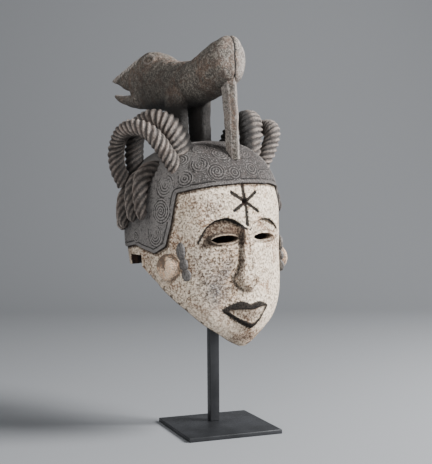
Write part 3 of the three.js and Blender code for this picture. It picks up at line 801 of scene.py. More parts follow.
def head_finish(look):
    """Crusty chalk over dark wood on the face, worn dark wood on the coiffure, raw wood inside."""
    finish = Finish("chalk_and_dark_wood", look)
    edge, raw, lips, mouth, brow, star, lid, slit, nick, shadow, warm, cool, brown, dirt = (
        finish.field(name) for name in (
            "edge", "raw", "lips", "mouth", "brow", "star", "lid", "slit", "nick", "shadow",
            "warm", "cool", "brown", "dirt",
        )
    )
    dust, crumb = finish.common_grains()
    patch = finish.grain(150, 4, 0.65, twist=0.4)
    other = finish.streaks()
    cloud = finish.grain(36, 3, 0.6)
    fleck = crumb * 0.7 + dust * 0.3
    flake = (1 - fleck).rising(0.53, 0.66)
    grime = fleck.rising(0.54, 0.67) * (0.55 + dirt * 0.45) * (1 - warm * 0.5)
    rubbed = other * 0.35 + crumb * 0.55 + dust * 0.1 + brown * 0.1 - warm * 0.06
    rubbed = rubbed.rising(0.72, 0.80)
    chalk = finish.layers(
        "chalk_shade",
        (cloud.rising(0.0, 0.6), "chalk"),
        # Dirt, and painted shade on the face's right side, greying the chalk
        (dirt * (0.62 + cloud * 0.35), "grey_stain"),
        (other.rising(0.48, 0.78) * (0.1 + dirt * 0.5), "warm_stain"),
        (patch.rising(0.5, 0.8) * (0.1 + dirt * 0.6), "grey_stain"),
        (warm * (0.05 + 0.4 * patch), "warm_stain"),
        # On the warm stains of the jaw the chalk is also made paler, as painted light where the jaw
        # faces away from the key light
        (warm * 0.3, "flake"),
        (cool * (0.5 + crumb * 0.25 + patch * 0.45), "cool_stain"),
        (grime, "grime"),
        (brown * (0.75 + crumb.rising(0.2, 0.8) * 0.25), "wood"),
        (rubbed * 0.85, "wood"),
        (flake * (0.85 - dirt * 0.42) * (1 - brown * 0.9) * (1 - cool * 0.5), "flake"),
    )

    ragged = (crumb - 0.5) * 2.4 + (dust - 0.5)
    painted = (lips + ragged).rising(-0.7, 1.3) * (1 - (mouth + ragged).rising(-0.9, 1.1))
    # Black lines: brows, star, painted shade in and round the cord holes, lid rims, and painted
    # shadow beside the nose
    for line in (
        (2.7 - brow + ragged * 0.5).rising(0.0, 1.5),
        (1.02 - star + ragged * 0.2).rising(0.0, 0.4),
        (2.8 - nick + ragged * 0.2).rising(0.0, 0.6),
        lid.band(-0.8, 0.9, 0.7) * 0.5,
        (5.2 - shadow + ragged * 0.5).rising(0.0, 5.2) * 0.8,
    ):
        painted = painted.most(line)
    scuff = (crumb * 0.5 + dust * 0.5).rising(0.48, 0.72)
    face = finish.layers(
        chalk,
        (painted * (1 - scuff * 0.12), finish.layers("line", (scuff * 0.35, "line_worn"))),
        (slit.band(0.2, 1.7, 0.4) * 0.18, "chalk"),
        # Painted shadow on the face just under the coiffure's edge
        ((edge + ragged * 0.7).band(-4.6, 0.2, 0.7) * 0.7, "wood"),
        ((edge + ragged * 0.5).band(-2.2, 0.2, 0.5) * 0.8, "hollow_shade"),
    )
    hair, dots = coiffure_wood(finish, crumb, dust, other)
    ditch = edge.band(-0.6, 1.6, 0.4).most(edge.band(5.2, 6.9, 0.4))
    hair = finish.layers(
        hair,
        (edge.band(1.9, 4.8, 0.4) * (0.1 + scuff * 0.3), "hair_light"),
        (ditch * 0.85, "line"),
    )
    on_hair = (edge + 0.2).rising(-0.3, 0.3)
    inner = finish.layers("hollow_shade", (other.rising(0.3, 0.7), "hollow"))
    skin = finish.layers(face, (on_hair, hair), (raw, inner))

    crust = crumb + patch * 0.8 + dust * 0.6 - rubbed * 0.5 + flake * 0.25
    height = crust * (1 - on_hair * 0.4) + dots * on_hair * 0.7
    rough = 0.88 - on_hair * 0.2 + (crumb - 0.5) * 0.15
    return finish.done(skin, rough, (height, 1.0, 0.0019), shine=0.18)


def coiffure_wood(finish, crumb, dust, other):
    """Greyish worn wood of the coiffure with pale pricked dots, with painted light on its sides
    and painted shade at its front.
    """
    side = finish.field("side")
    cells = finish.node("ShaderNodeTexVoronoi", {}, {"Vector": finish.place, "Scale": 380})
    dots = 1 - Amount(finish, cells.outputs["Distance"]).rising(0.12, 0.5)
    hair = finish.layers(
        "hair_shade",
        ((crumb * 0.6 + dust * 0.4).rising(0.3, 0.7), "hair"),
        (other.rising(0.45, 0.75) * 0.5, "hair_red"),
        # Painted light on the sides and painted shade at the front, by the angle round the head
        (side * 0.62, "hair_light"),
        ((1 - side) * 0.62, "hair_shade"),
        ((crumb * 0.7 + dust * 0.3).rising(0.55, 0.75) * 0.65, "line"),
        (dots * (0.12 + (1 - crumb).rising(0.4, 0.8) * 0.63), "hair_light"),
    )
    return hair, dots


def whorl_finish(look):
    """The coiffure's wood, dark in the cut rings, with a faint painted highlight on the ring
    crests.
    """
    finish = Finish("whorl_wood", look)
    dust, crumb = finish.common_grains()
    hair, _ = coiffure_wood(finish, crumb, dust, finish.streaks())
    deep, ragged = finish.field("groove"), (crumb - 0.5) * 0.6
    hair = finish.layers(
        hair,
        # Faint painted highlight on the ring crests
        ((1 - deep + ragged).rising(0.55, 1.0) * 0.15, "hair_light"),
        ((deep + ragged).rising(0.42, 0.85) * 0.78, "line"),
    )
    return finish.done(hair, 0.68, (crumb + dust * 0.4, 0.8, 0.0011), shine=0.18)


def dark_wood_finish(name, look, stranded=True):
    """Dark wood, black where it is cut and where shade is painted, pale on its crests from rubbing
    and painted highlight, and dusted all over.
    """
    finish = Finish(name, look)
    dust, crumb = finish.common_grains()
    patch = finish.grain(120, 4, 0.65, twist=0.4)
    cloud = finish.grain(34, 3, 0.6)
    worn = crumb * 0.6 + dust * 0.4
    uneven = worn - 0.5
    if stranded:
        deep = finish.field("groove")
        specks = (crumb * 0.45 + dust * 0.55).rising(0.56, 0.74)
        # Pale strand crests, partly rubbed and partly painted highlight; black grooves as painted
        # shade
        coats = [
            ((1 - deep * 1.2 + uneven * 0.8).rising(0.3, 1.15) * 0.68, "crest"),
            (specks * (1 - deep * 0.6) * 0.55, "crest"),
            (patch.rising(0.5, 0.85) * 0.55, "shade"),
            ((deep + uneven * 0.6).rising(0.25, 1.1) * 0.64, "cut"),
        ]
    else:
        rub = finish.field("rub")
        coats = [
            (patch.rising(0.5, 0.8) * 0.7, "shade"),
            (crumb.rising(0.55, 0.8) * 0.2, "crest"),
            (dust.rising(0.6, 0.85) * 0.3, "crest"),
            (rub * (0.3 + worn.rising(0.3, 0.7) * 0.7), "crest"),
            ((rub + uneven * 0.5).rising(1.05, 1.35) * 0.8, "tooth"),
            (finish.field("cut").rising(0.3, 0.8) * 0.9, "cut"),
        ]
    base = finish.layers(
        "shade",
        (worn.rising(0.3, 0.7), "wood"),
        ((patch * 0.6 + cloud * 0.4).rising(0.45, 0.7) * 0.6, "rust"),
        *coats,
        # The under field is painted shade, laid in black
        (finish.field("under") * 0.96, "cut"),
    )
    rough = 0.74 + (crumb - 0.5) * 0.2
    height = crumb * 0.8 + dust * 0.35 + patch * 0.6
    return finish.done(base, rough, (height, 0.9, 0.0012), shine=0.3)


def ear_finish(look):
    """Chalk over wood, rubbed brown along the rim of the ear, with painted shade in its hollow."""
    finish = Finish("chalky_ear", look)
    fine, small = finish.grain(900, 4, 0.7), finish.grain(330, 4, 0.65)
    # worn holds the rubbed rims and the painted shade in the hollow
    worn = (fine * 0.5 + small * 0.5 + finish.field("rub") * 0.55).rising(0.62, 0.8)
    base = finish.layers(
        "chalk_shade",
        (small.rising(0.3, 0.7), "chalk"),
        ((fine * 0.4 + small * 0.6).rising(0.47, 0.62) * 0.65, "grime"),
        (worn * 0.85, "wood"),
    )
    height = small * 0.6 + fine * 0.3 - worn * 0.4
    return finish.done(base, 0.85, (height, 0.5, 0.001))


def slate_finish(look):
    """Blue-grey paint over dark wood."""
    finish = Finish("slate_paint", look)
    fine, small = finish.grain(900, 4, 0.7), finish.grain(300, 4, 0.65)
    base = finish.layers(
        "hair_shade",
        ((small + finish.field("rub") - 0.15).rising(0.3, 0.8), "hair"),
        (fine.rising(0.45, 0.8) * 0.25, "hair_light"),
    )
    return finish.done(base, 0.65 + small * 0.2, (small * 0.6 + fine * 0.3, 0.5, 0.001))


def steel_finish(look):
    """Black steel, hardly uneven."""
    finish = Finish("black_steel", look)
    small, broad = finish.grain(420, 3, 0.6), finish.grain(30, 3, 0.5)
    base = finish.layers("steel", (broad * 0.6, "steel_light"))
    return finish.done(base, 0.38 + small * 0.16, (small * 0.3, 0.2, 0.0003), metal=0.35)


# Settings

def size(name, text, value, low=0.0):
    """A length in metres."""
    return bpy.props.FloatProperty(
        name=name, description=text, default=value, min=low, max=1.0, subtype="DISTANCE",
        unit="LENGTH",
    )


def paint(name, text, digits):
    """A colour from its six screen digits."""
    return bpy.props.FloatVectorProperty(
        name=name, description=text, default=(*colour(digits), 1.0), size=4, subtype="COLOR",
        min=0.0, max=1.0,
    )


def count(name, text, value):
    """A number of things."""
    return bpy.props.IntProperty(name=name, description=text, default=value, min=1, max=64)


def power(name, text, value):
    """A light's power in watts."""
    return bpy.props.FloatProperty(
        name=name, description=text, default=value, min=0.0, unit="POWER",
    )


class HeadSettings(bpy.types.PropertyGroup):
    """Carving and paint of the helmet."""

    wall: size("Wall", "Thickness of the carved wall", 0.012)
    cap_rise: size("Coiffure rise", "How far the coiffure stands out from the face", 0.003)
    hollow_depth: size("Eye hollow", "Depth of the hollow under each brow", 0.007)
    groove_depth: size("Brow groove", "Depth of the cut brow line", 0.0014)
    lip_rise: size("Lip rise", "How far the lips stand out", 0.007)
    star_depth: size("Star depth", "Depth of the star cut in the forehead", 0.0019)
    chalk: paint("Chalk", "Clean white of the face", "FBE6CC")
    chalk_shade: paint("Chalk, dirty", "Greyer white of the face", "B8967A")
    warm_stain: paint("Warm stain", "Tan stain along the jaw", "BE9670")
    cool_stain: paint("Cool stain", "Blue-grey stain on the cheek", "50555C")
    # grey_stain is also laid as painted shade on the face's right side
    grey_stain: paint("Grey stain", "Pinkish grey patches in the chalk", "85705F")
    grime: paint("Grime", "Brown-grey specks in the chalk", "4E4238")
    flake: paint("Flakes", "Whitest flakes of the chalk", "FFF2DF")
    # wood is also laid as painted shade in the eye hollow and in the ear's hollow
    wood: paint("Wood", "Brown wood where the chalk is rubbed off", "43342A")
    # line is also laid as painted shade in the cord holes and beside the nose
    line: paint("Line", "Black of brows, star and lips", "110F0E")
    line_worn: paint("Worn line", "Rubbed black paint", "3D3833")
    hair: paint("Coiffure", "Dark wood of the coiffure", "5F5C59")
    # hair_shade is also laid as painted shade at the front, and hair_light as painted light on the
    # sides
    hair_shade: paint("Coiffure, dark", "Darkest wood of the coiffure", "373332")
    hair_light: paint("Coiffure, rubbed", "Rubbed wood of the coiffure", "918D8A")
    hair_red: paint("Coiffure, reddish", "Reddish patches of the coiffure", "5F524C")
    hollow: paint("Inside", "Raw wood inside the helmet", "35251C")
    # hollow_shade also lays the painted shadow under the coiffure's edge
    hollow_shade: paint("Inside, dark", "Darkest wood inside the helmet", "1D130E")


class HairSettings(bpy.types.PropertyGroup):
    """Rope arches, locks and whorls."""

    strands: count("Strands", "Strands twisted into each rope", 5)
    pitch: size("Strand spacing", "Distance between two strands along a rope", 0.0086)
    outer_radius: size("Outer rope", "Radius of the outer rope", 0.012)
    inner_across: size("Inner rope, across", "Half width of the inner rope", 0.015)
    inner_thick: size("Inner rope, thick", "Half thickness of the inner rope", 0.0105)
    groove: bpy.props.FloatProperty(
        name="Groove", description="Depth of the groove between strands, as a share of the radius",
        default=0.21, min=0.0, max=0.6, subtype="FACTOR",
    )
    lock_strands: count("Lock strands", "Strands twisted into each lock", 5)
    lock_pitch: size("Lock spacing", "Distance between two strands along a lock", 0.014)
    lock_radius: size("Lock radius", "Greatest radius of a lock", 0.0135)
    wood: paint("Wood", "Dark wood of the hair", "706A66")
    shade: paint("Wood, dark", "Darkest wood of the hair", "3E3A37")
    # crest is also laid as painted highlight on the strand crests; cut is also laid as painted
    # shade in the grooves and on the shaded sides
    crest: paint("Crest", "Rubbed crests of the strands", "9A8E85")
    cut: paint("Cut", "Black in the grooves", "161413")
    rust: paint("Rust", "Reddish wood", "67554C")


class BeastSettings(bpy.types.PropertyGroup):
    """The beast and its tail prop."""

    voxel: size("Fineness", "Size of the cells that join the beast's parts", 0.0014, 0.0008)
    notches: count("Notches", "Notches along the snout", 12)
    wood: paint("Wood", "Dark wood of the beast", "787167")
    shade: paint("Wood, dark", "Darkest wood of the beast", "37332E")
    # crest is also laid as painted highlight on the beast's lit top and side; cut is also laid as
    # painted shade on its legs and underside
    crest: paint("Rubbed", "Rubbed wood on edges", "9E9791")
    cut: paint("Cut", "Black in cuts", "131110")
    rust: paint("Rust", "Reddish wood", "6E5342")
    tooth: paint("Teeth", "Pale worn wood of the snout teeth", "D2C8BE")


class StandSettings(bpy.types.PropertyGroup):
    """Post and plate."""

    bevel: size("Edge", "Width of the rounded steel edges", 0.0007)
    steel: paint("Steel", "Black of the steel", "1D1E20")
    steel_light: paint("Steel, worn", "Lighter patches of the steel", "323336")


class StageSettings(bpy.types.PropertyGroup):
    """Floor, lights and camera."""

    floor: paint("Floor", "Colour of floor and backdrop", "7B7D80")
    key: power("Key light", "Power of the main soft light", 172.0)
    fill: power("Fill light", "Power of the soft light on the other side", 36.0)
    focal_length: bpy.props.FloatProperty(
        name="Focal length", description="Focal length of the camera", default=73.71, min=1.0,
        unit="CAMERA",
    )


# Head

def head_angles():
    """Angles round the head for the net's columns, closer together on the face."""
    around = np.linspace(0, 180, 3601)
    weight = np.interp(around, *COLUMN_WEIGHT)
    along = np.concatenate([[0], np.cumsum((weight[1:] + weight[:-1]) / 2)])
    half = np.interp(np.linspace(0, along[-1], HEAD_COLUMNS // 2 + 1), along, around)
    return np.concatenate([-half[::-1], half[1:]])


def rim_height(degrees, inset):
    """Height at which each line down the head ends at the rim."""
    wide = np.abs(degrees)
    low = INNER_CHIN + 2 if inset > HOLLOW_INSET else JAW_Z[0]
    heights = np.linspace(low, JAW_TOP, 400)
    half = section(heights, inset)[0]
    jaw = np.interp(wide, np.maximum.accumulate(half / half[-1]) * 90, heights)
    return np.where(wide <= 90, jaw, np.interp(wide, *REAR_RIM))


def down_the_head(degrees, top, bottom, inset, rows):
    """Points on one skin between two heights, at shares of the way down, for each angle."""
    made = []
    full = section(JAW_TOP, inset)[0]
    for angle, high, low in zip(degrees, top, bottom):
        steps = np.linspace(0, 1, 500) ** (2 if high > DOME_START + 60 else 1)
        heights = high - (high - low) * steps
        turn = np.full_like(heights, math.radians(angle))
        if abs(angle) <= 90:
            spread = np.where(heights < JAW_TOP, full / section(heights, inset)[0], 1.0)
            turn = np.clip(turn * spread, -math.pi / 2, math.pi / 2)
        line = head_point(turn, heights, inset)
        length = lengths(line)
        made.append(sampled(line, length, rows * length[-1]))
    return np.array(made)


def carve_head(carve):
    """The head as one net, from the crown over cap, face and rim to the crown of the hollow."""
    degrees = head_angles()
    hair = hair_edge(degrees)
    wall, rise = carve.wall / MM, carve.cap_rise / MM
    crown, inner_crown = (np.full_like(degrees, CROWN + up) for up in (rise - 0.05, -wall - 0.02))
    cap = down_the_head(degrees, crown, hair + 0.5, -rise, np.concatenate([
        np.linspace(0, CAP_EDGE, CAP_ROWS), np.linspace(CAP_EDGE, 1, CAP_EDGE_ROWS)[1:],
    ]))
    step = [head_point(np.radians(degrees), hair + up, -rise * out) for up, out in CAP_STEP]
    face = down_the_head(
        degrees, hair - 0.1, rim_height(degrees, 0), 0, np.linspace(0, 1, FACE_ROWS),
    )
    inside = down_the_head(
        degrees, inner_crown, rim_height(degrees, wall), wall, np.linspace(0, 1, HOLLOW_ROWS),
    )[:, ::-1]
    front = np.abs(degrees)[:, None] < FACE_HALF_ANGLE
    face[..., 1] -= np.where(front, face_relief(face[..., 0], face[..., 2], carve), 0)
    edge_out, edge_in = face[:, -1], inside[:, 0]
    lip = np.stack([edge_out + (edge_in - edge_out) * share for share in RIM_LIP], axis=1)
    sheet = np.concatenate([cap, np.stack(step, axis=1), face, lip, inside], axis=1)
    sheet[-1] = sheet[0]
    for end in (0, -1):
        sheet[:, end] = sheet[:, end].mean(axis=0)
    _, middle = head_depth(sheet)
    bump = hand_cut(sheet, 34, 3) * 0.35
    return woven("mask_head", sheet + unit(sheet - middle) * bump[..., None])


def eye_tool(side):
    """A lens-shaped bar that pierces the face at one eye."""
    tool = primitive("circle", vertices=48, radius=1, fill_type="NGON")
    across, up, _ = vectors(tool).T
    middle, long, tall = SLITS[side]
    height = EYE_Z + np.sign(up) * slit_height(np.abs(across), tall)
    front = np.full_like(across, SLIT_FRONT)
    set_points(tool, np.stack([middle + across * long, front, height], axis=-1))
    push = {"value": (0, SLIT_DEPTH, 0)}
    edit(tool, lambda: bpy.ops.mesh.extrude_region_move(TRANSFORM_OT_translate=push))
    tidy(tool)
    return placed(tool)


def rim_hole_places():
    """Centre and outward direction of each cord hole."""
    made = []
    for side, _ in SIDES:
        for height, angle in RIM_HOLES:
            if not angle:
                front = section(height)[2]
                angle = math.degrees(math.acos((HOLE_MARGIN / front) ** (SECTION_POWER / 2)))
            centre = head_point(math.radians(side * angle), height)
            made.append((centre, unit(centre - [0, centre[1] * 0.8 + 8, height])))
    return made


def rim_tools():
    """The notch behind the right ear and the row of cord holes along the rim."""
    notch = primitive("cube", size=1, location=NOTCH, scale=NOTCH_SIZE)
    edit(notch, lambda: bpy.ops.mesh.subdivide(number_cuts=28))
    placed(notch)
    holes = [
        placed(primitive(
            "cylinder", vertices=14, radius=HOLE_RADIUS, depth=HOLE_DEPTH, location=centre,
            rotation=Vector(out).to_track_quat("Z", "Y").to_euler(),
        ))
        for centre, out in rim_hole_places()
    ]
    return notch, joined("rim_holes", holes)


def stain(x, z, spots, base=0.0):
    """Soft spots of the front view over a base, from 0 to 1."""
    for strength, at_x, at_z, wide, tall in spots:
        base = base + strength * np.exp(-((x - at_x) / wide) ** 2 - ((z - at_z) / tall) ** 2)
    return np.clip(base, 0, 1)


def hair_distance(places):
    """Distance to the coiffure's lower edge, above 0 on the coiffure."""
    border = head_point(np.radians(ROUND), hair_edge(ROUND), -1.0)
    tree = KDTree(len(border))
    for index, place in enumerate(border):
        tree.insert(place, index)
    tree.balance()
    away = np.array([tree.find(place)[2] for place in places])
    return np.where(places[:, 2] > hair_edge(turn_of(places)), away, -away)


def head_fields(piece):
    """Marks what the head's material has to know about each point."""
    places = to_mask(vectors(piece))
    x, y, z = places.T
    wide = np.abs(x)
    degrees = np.abs(turn_of(places))
    out, middle = head_depth(places)
    reach = np.linalg.norm(places - middle, axis=1)
    depth = reach / np.maximum(out, 0.05) * (1 - out)
    front = (degrees < 80) & (y < 0)

    def facing(values, other=FAR_OFF):
        return np.where(front, values, other)

    brow = np.minimum(*[line_distance(x, z, line) for line in BROWS])
    brow = brow / np.maximum(smooth(82, 60, wide), 0.45) + np.where(x > 4, 0.8, 0)
    star = [line_distance(x, z, line) / width for line, width in zip(STAR, STAR_HALF)]
    lid = np.hypot((wide - EYE_X) / LID_HALF, (z - EYE_Z) / LID_TALL)
    # Painted shade in the eye hollow under the brow, strong on the right side and weak on the left
    under = brow_height(x) - z
    socket = front & (wide > 4) & (wide < SOCKET_HALF + 4)
    shade = smooth(-1, 3, under) * smooth(38, 24, under) * smooth(264, 275, z)
    shade *= smooth(69, 60, wide) * np.where(x < 0, 1.25, 0.3) * socket

    middle, long, tall = np.where(x[:, None] < 0, SLITS[-1], SLITS[1]).T
    part = np.clip(np.abs((x - middle) / long), 0, 1)
    slit = np.abs(z - EYE_Z) - slit_height(part, tall)
    slit = np.where(front & (part < 1), slit, FAR_OFF)
    notch = (x < -60) & (z < NOTCH[2] + NOTCH_SIZE[2] / 2 + 1)
    notch &= np.abs(y - NOTCH[1]) < NOTCH_SIZE[1] / 2 + 0.5
    raw = smooth(1.4, 3.0, depth) * np.where(socket & (z > 262), smooth(8.5, 10.5, depth), 1)
    raw = np.maximum(raw, notch * smooth(0.3, 1.0, depth))
    raw = np.maximum(raw, (slit < 0.1) * smooth(6.0, 8.0, depth + 4 * (slit < -0.15)))

    mouth = facing(inside_distance(x, z, MOUTH), -FAR_OFF)
    behind = section(z)[1] - y
    rim = np.where((z < JAW_TOP + 12) & (behind > 0), behind, FAR_OFF)
    bridge = facing(0.75 * smooth(2.0, 0.6, line_distance(x, z, NOSE_EDGE)), 0)
    # Distance to the cord holes, for painted shade in and round them
    nick = [np.linalg.norm(places - centre, axis=1) for centre, _ in rim_hole_places()]
    # Brown in the mouth, dark lines along the nose ridge and the jaw's edge, and the painted shade
    # of the eye hollow
    rubbed = 0.6 * smooth(0, 2, mouth) + bridge + 0.9 * smooth(3.6, 0.6, rim) + shade
    mark(
        piece, raw=raw, slit=slit, mouth=mouth,
        edge=hair_distance(places),
        # side: painted light and shade on the coiffure by the angle round the head
        side=smooth(25, 70, degrees),
        nick=np.min(nick, axis=0),
        lips=facing(inside_distance(x, z, LIPS), -FAR_OFF),
        brow=facing(brow),
        star=facing(np.min(star, axis=0)),
        lid=facing((lid - 1) * LID_TALL),
        shadow=facing(line_distance(x, z, NOSE_SHADOW)),
        # Dirt, and painted shade on the face's right side, away from the key light
        dirt=stain(x, z, DIRT_AND_SHADE, 0.06 + 0.2 * smooth(12, -22, x)),
        warm=stain(x, z, WARM),
        cool=stain(x, z, COOL),
        brown=stain(x, z, BROWN, rubbed),
    )


# Ropes, locks and whorls

def rope_path(points, spacing):
    """Even places and directions along a smooth path through points, and its length."""
    knots = [Vector(p) for p in points]
    knots = [knots[0] * 2 - knots[1], *knots, knots[-1] * 2 - knots[-2]]
    line = []
    for a, b, c, d in zip(knots[:-3], knots[1:-2], knots[2:-1], knots[3:]):
        before, here, after = ((q - p).length ** 0.5 for p, q in ((a, b), (b, c), (c, d)))
        leave = ((b - a) / before - (c - a) / (before + here) + (c - b) / here) * here
        reach = ((c - b) / here - (d - b) / (here + after) + (d - c) / after) * here
        for part in np.linspace(0, 1, 40, endpoint=False):
            weights = hermite(part)
            line.append(sum((p * w for p, w in zip((b, leave, c, reach), weights)), Vector()))
    line = np.array([*line, knots[-2]])
    length = lengths(line)
    place = sampled(line, length, np.linspace(0, length[-1], int(length[-1] / spacing) + 1))
    return place, unit(np.gradient(place, axis=0)), length[-1]


def twisted(name, path, side, strands, pitch, sizes, shade, groove, row, around):
    """A right-handed rope of strands with closed ends, with shade painted on it by the shade rule.
    """
    place, way, length = rope_path(path, row)
    first = unit(side - way * (way @ side)[:, None])
    second = np.cross(way, first)
    part = np.linspace(0, 1, len(place))
    angle = round_angles(around)
    turn = angle - 2 * math.pi * part * length / (pitch * strands)
    crest = (0.5 + 0.5 * np.cos(turn * strands)) ** 0.7
    swell = 1 - groove * (1 - crest)
    across, thick = sizes(part)
    sheet = (place + (np.cos(angle) * swell * across)[..., None] * first
             + (np.sin(angle) * swell * thick)[..., None] * second)
    sheet += (hand_cut(sheet, 17, 5) * 0.3 / across)[..., None] * (sheet - place)
    # Painted shade from the rule, kept on each point as under
    dark = np.clip(shade(unit(sheet - place), place, part), 0, 1)
    return closed(name, keep_in_wall(sheet), groove=1 - crest, under=dark)


def whorl(turn, height, radius, spiral):
    """A shallow carved boss with rings, laid on the coiffure."""
    centre = head_point(math.radians(turn), height, WHORL_INSET)
    _, middle = head_depth(centre, WHORL_INSET)
    near = on_skin(centre + 0.5 * np.vstack([np.zeros(3), np.eye(3)]), WHORL_INSET)
    normal = np.zeros(3)
    for a, b in ((1, 2), (2, 3), (3, 1)):
        part = np.cross(near[a] - near[0], near[b] - near[0])
        normal += part * np.sign(part @ (centre - middle) + 1e-12)
    normal = unit(normal)
    across = unit(np.cross([0, 0, 1], normal))
    upward = np.cross(normal, across)
    angle = round_angles(max(28, int(radius * 3.4)))
    reach = np.linspace(0, 1, int(radius / RING_ROW) + 1) * radius
    flat = (centre + (np.cos(angle) * reach)[..., None] * across
            + (np.sin(angle) * reach)[..., None] * upward)
    skin = on_skin(flat, WHORL_INSET)
    wave = np.cos(2 * math.pi * reach / RING_GAP - angle * spiral)
    edge = np.clip((radius - reach) / 1.6, 0, 1)
    rise = edge * (0.34 + 0.28 * wave) - 0.5 * (1 - edge)
    _, middle = head_depth(skin, WHORL_INSET)
    out = unit(skin - middle)
    under = skin[:, -1:] - out[:, -1:] * 1.6
    base = np.broadcast_to(centre - normal * 2.0, under.shape)
    sheet = np.concatenate([skin + out * rise[..., None], under, base], axis=1)
    sheet[-1] = sheet[0]
    depth = (0.5 - 0.5 * wave) * edge + (1 - edge)
    return woven("whorl", sheet, groove=np.pad(depth, ((0, 0), (0, 2)), mode="edge"))


# Ears and temples

def ball(centre, half, segments, rings):
    """A ball stretched to its half sizes."""
    return placed(primitive(
        "uv_sphere", segments=segments, ring_count=rings, location=centre, scale=half,
    ))


def carved_ear(side):
    """A boss with its hollow, kept out of the helmet's own hollow."""
    flip = (side, 1.0, 1.0)
    ear = ball(np.multiply(EAR, flip), EAR_HALF, 64, 40)
    cut(ear, ball(np.multiply(EAR_BOWL, flip), EAR_BOWL_HALF, 48, 32))
    remeshed(ear, EAR_FINENESS, 6)
    set_points(ear, to_world(keep_in_wall(to_mask(vectors(ear)), EAR_INSET)))
    return ear


def temple_mark(side, z, y, deep, tall):
    """One uneven boss on the temple."""
    half, centre, front, _ = section(z)
    x = side * half * (1 - ((centre - y) / front) ** SECTION_POWER) ** (1 / SECTION_POWER)
    piece = ball((x, y, z), (TEMPLE_RISE, deep, tall), 40, 24)
    places = to_mask(vectors(piece))
    bump = hand_cut(places, 8, 31) * 0.3
    set_points(piece, to_world(places + unit(places - [x, y, z]) * bump[:, None]))
    return piece


# Beast

def stations(table, steps, start=None):
    """Even places along a table's first column, and what its other columns say there."""
    keys, *columns = np.transpose(table)
    at = np.linspace(keys[0] if start is None else start, keys[-1], steps + 1)
    return at, *(flowing(keys, column, at) for column in columns)


def barrel(name, table, rows, around):
    """A closed body whose sections follow a table of depth, top, bottom and half width."""
    y, top, bottom, half = stations(table, rows)
    angle = round_angles(around)
    x = half * curved(np.sin(angle), BARREL_POWER)
    z = (top + bottom) / 2 + (top - bottom) / 2 * np.cos(angle)
    return closed(name, np.stack([x, np.broadcast_to(y, x.shape), z], axis=-1))


def beast_leg(side):
    """A stout leg that ends within the wall of the cap."""
    z, x, y, wide, deep = stations(BEAST_LEG, LEG_ROWS)
    angle = round_angles(LEG_AROUND)
    bend = 1 - 0.10 * np.cos(2 * angle) ** 2
    x = side * x + wide * np.cos(angle) * bend
    y = y + deep * np.sin(angle) * bend
    sheet = np.stack([x, y, np.broadcast_to(z, x.shape)], axis=-1)
    return closed("beast_leg", keep_in_wall(sheet))


def shape_beast(piece, notches):
    """Eye rings, snout teeth, rump seam and tool marks, cut into the joined body."""
    places = to_mask(vectors(piece))
    x, y, z = places.T
    normals = leaned(vectors(piece, "normal"), -1)
    boss_x, boss_y, boss_z = EYE_BOSS
    slant = (np.abs(x) - boss_x) * 0.82 + (y - boss_y) * 0.57
    away = np.hypot(slant / 1.28, z - boss_z)
    eye = np.abs(x) > 4
    ring, pupil = eye * bell(away - EYE_RING, 1.5), eye * bell(away - EYE_PUPIL, 1.1)
    seam = bell(x, 1.6) * smooth(-8, -24, y) * smooth(480, 500, z)
    (first_y, first_z), (last_y, last_z) = COMB_LINE
    part = (y - first_y) / (last_y - first_y)
    down = first_z + (last_z - first_z) * part - z
    comb = smooth(-0.02, 0.01, part) * smooth(1.03, 1.0, part) * smooth(12.5, 9.5, down)
    tooth = 0.5 - 0.5 * np.cos(2 * math.pi * notches * part)
    move = hand_cut(places, 26, 11) * 0.55 + hand_cut(places, 9, 12) * 0.16
    move += 1.3 * eye * bell(away, EYE_BALL, 4) + 1.1 * ring - 0.9 * pupil - 2.0 * seam
    move += comb * (tooth - 0.6)
    move += 1.5 * bell(np.linalg.norm(places - RUMP_KNOB, axis=1), KNOB_SIZE)
    set_points(piece, to_world(places + normals * move[:, None]))

    east, up = normals[:, 0], normals[:, 2]
    # Painted highlight along the beast's top where it faces up and on the rump's side that faces
    # the mask's left; the lower jaw is paler where it faces up, and the eye rings are rubbed
    spine = smooth(0.94, 1.0, up) * smooth(500, 520, z) * 0.6 * (1 - comb)
    rump = 0.75 * smooth(-0.1, 0.7, east) * smooth(10, -18, y) * smooth(478, 500, z)
    lip = smooth(0.5, 0.9, up) * smooth(215, 235, y) * (z < 512) * 0.6
    # Painted shade: the legs below the body and the sides that face down go black; the belly term
    # darkens a band along the middle of the body
    belly = 0.38 * smooth(20, 70, y) * smooth(205, 160, y) * smooth(545, 520, z)
    rub = np.clip(spine + rump + lip + 0.5 * ring, 0, 1) * (1 - comb)
    mark(
        piece,
        rub=rub + 2 * comb * smooth(0.6, 0.88, tooth),
        cut=np.clip(seam * 1.2 + 0.6 * pupil + comb * smooth(0.6, 0.3, tooth) * 0.5, 0, 1),
        under=np.clip(0.88 * smooth(494, 452, z) + 0.35 * smooth(0.2, -0.9, up) + belly, 0, 1),
    )


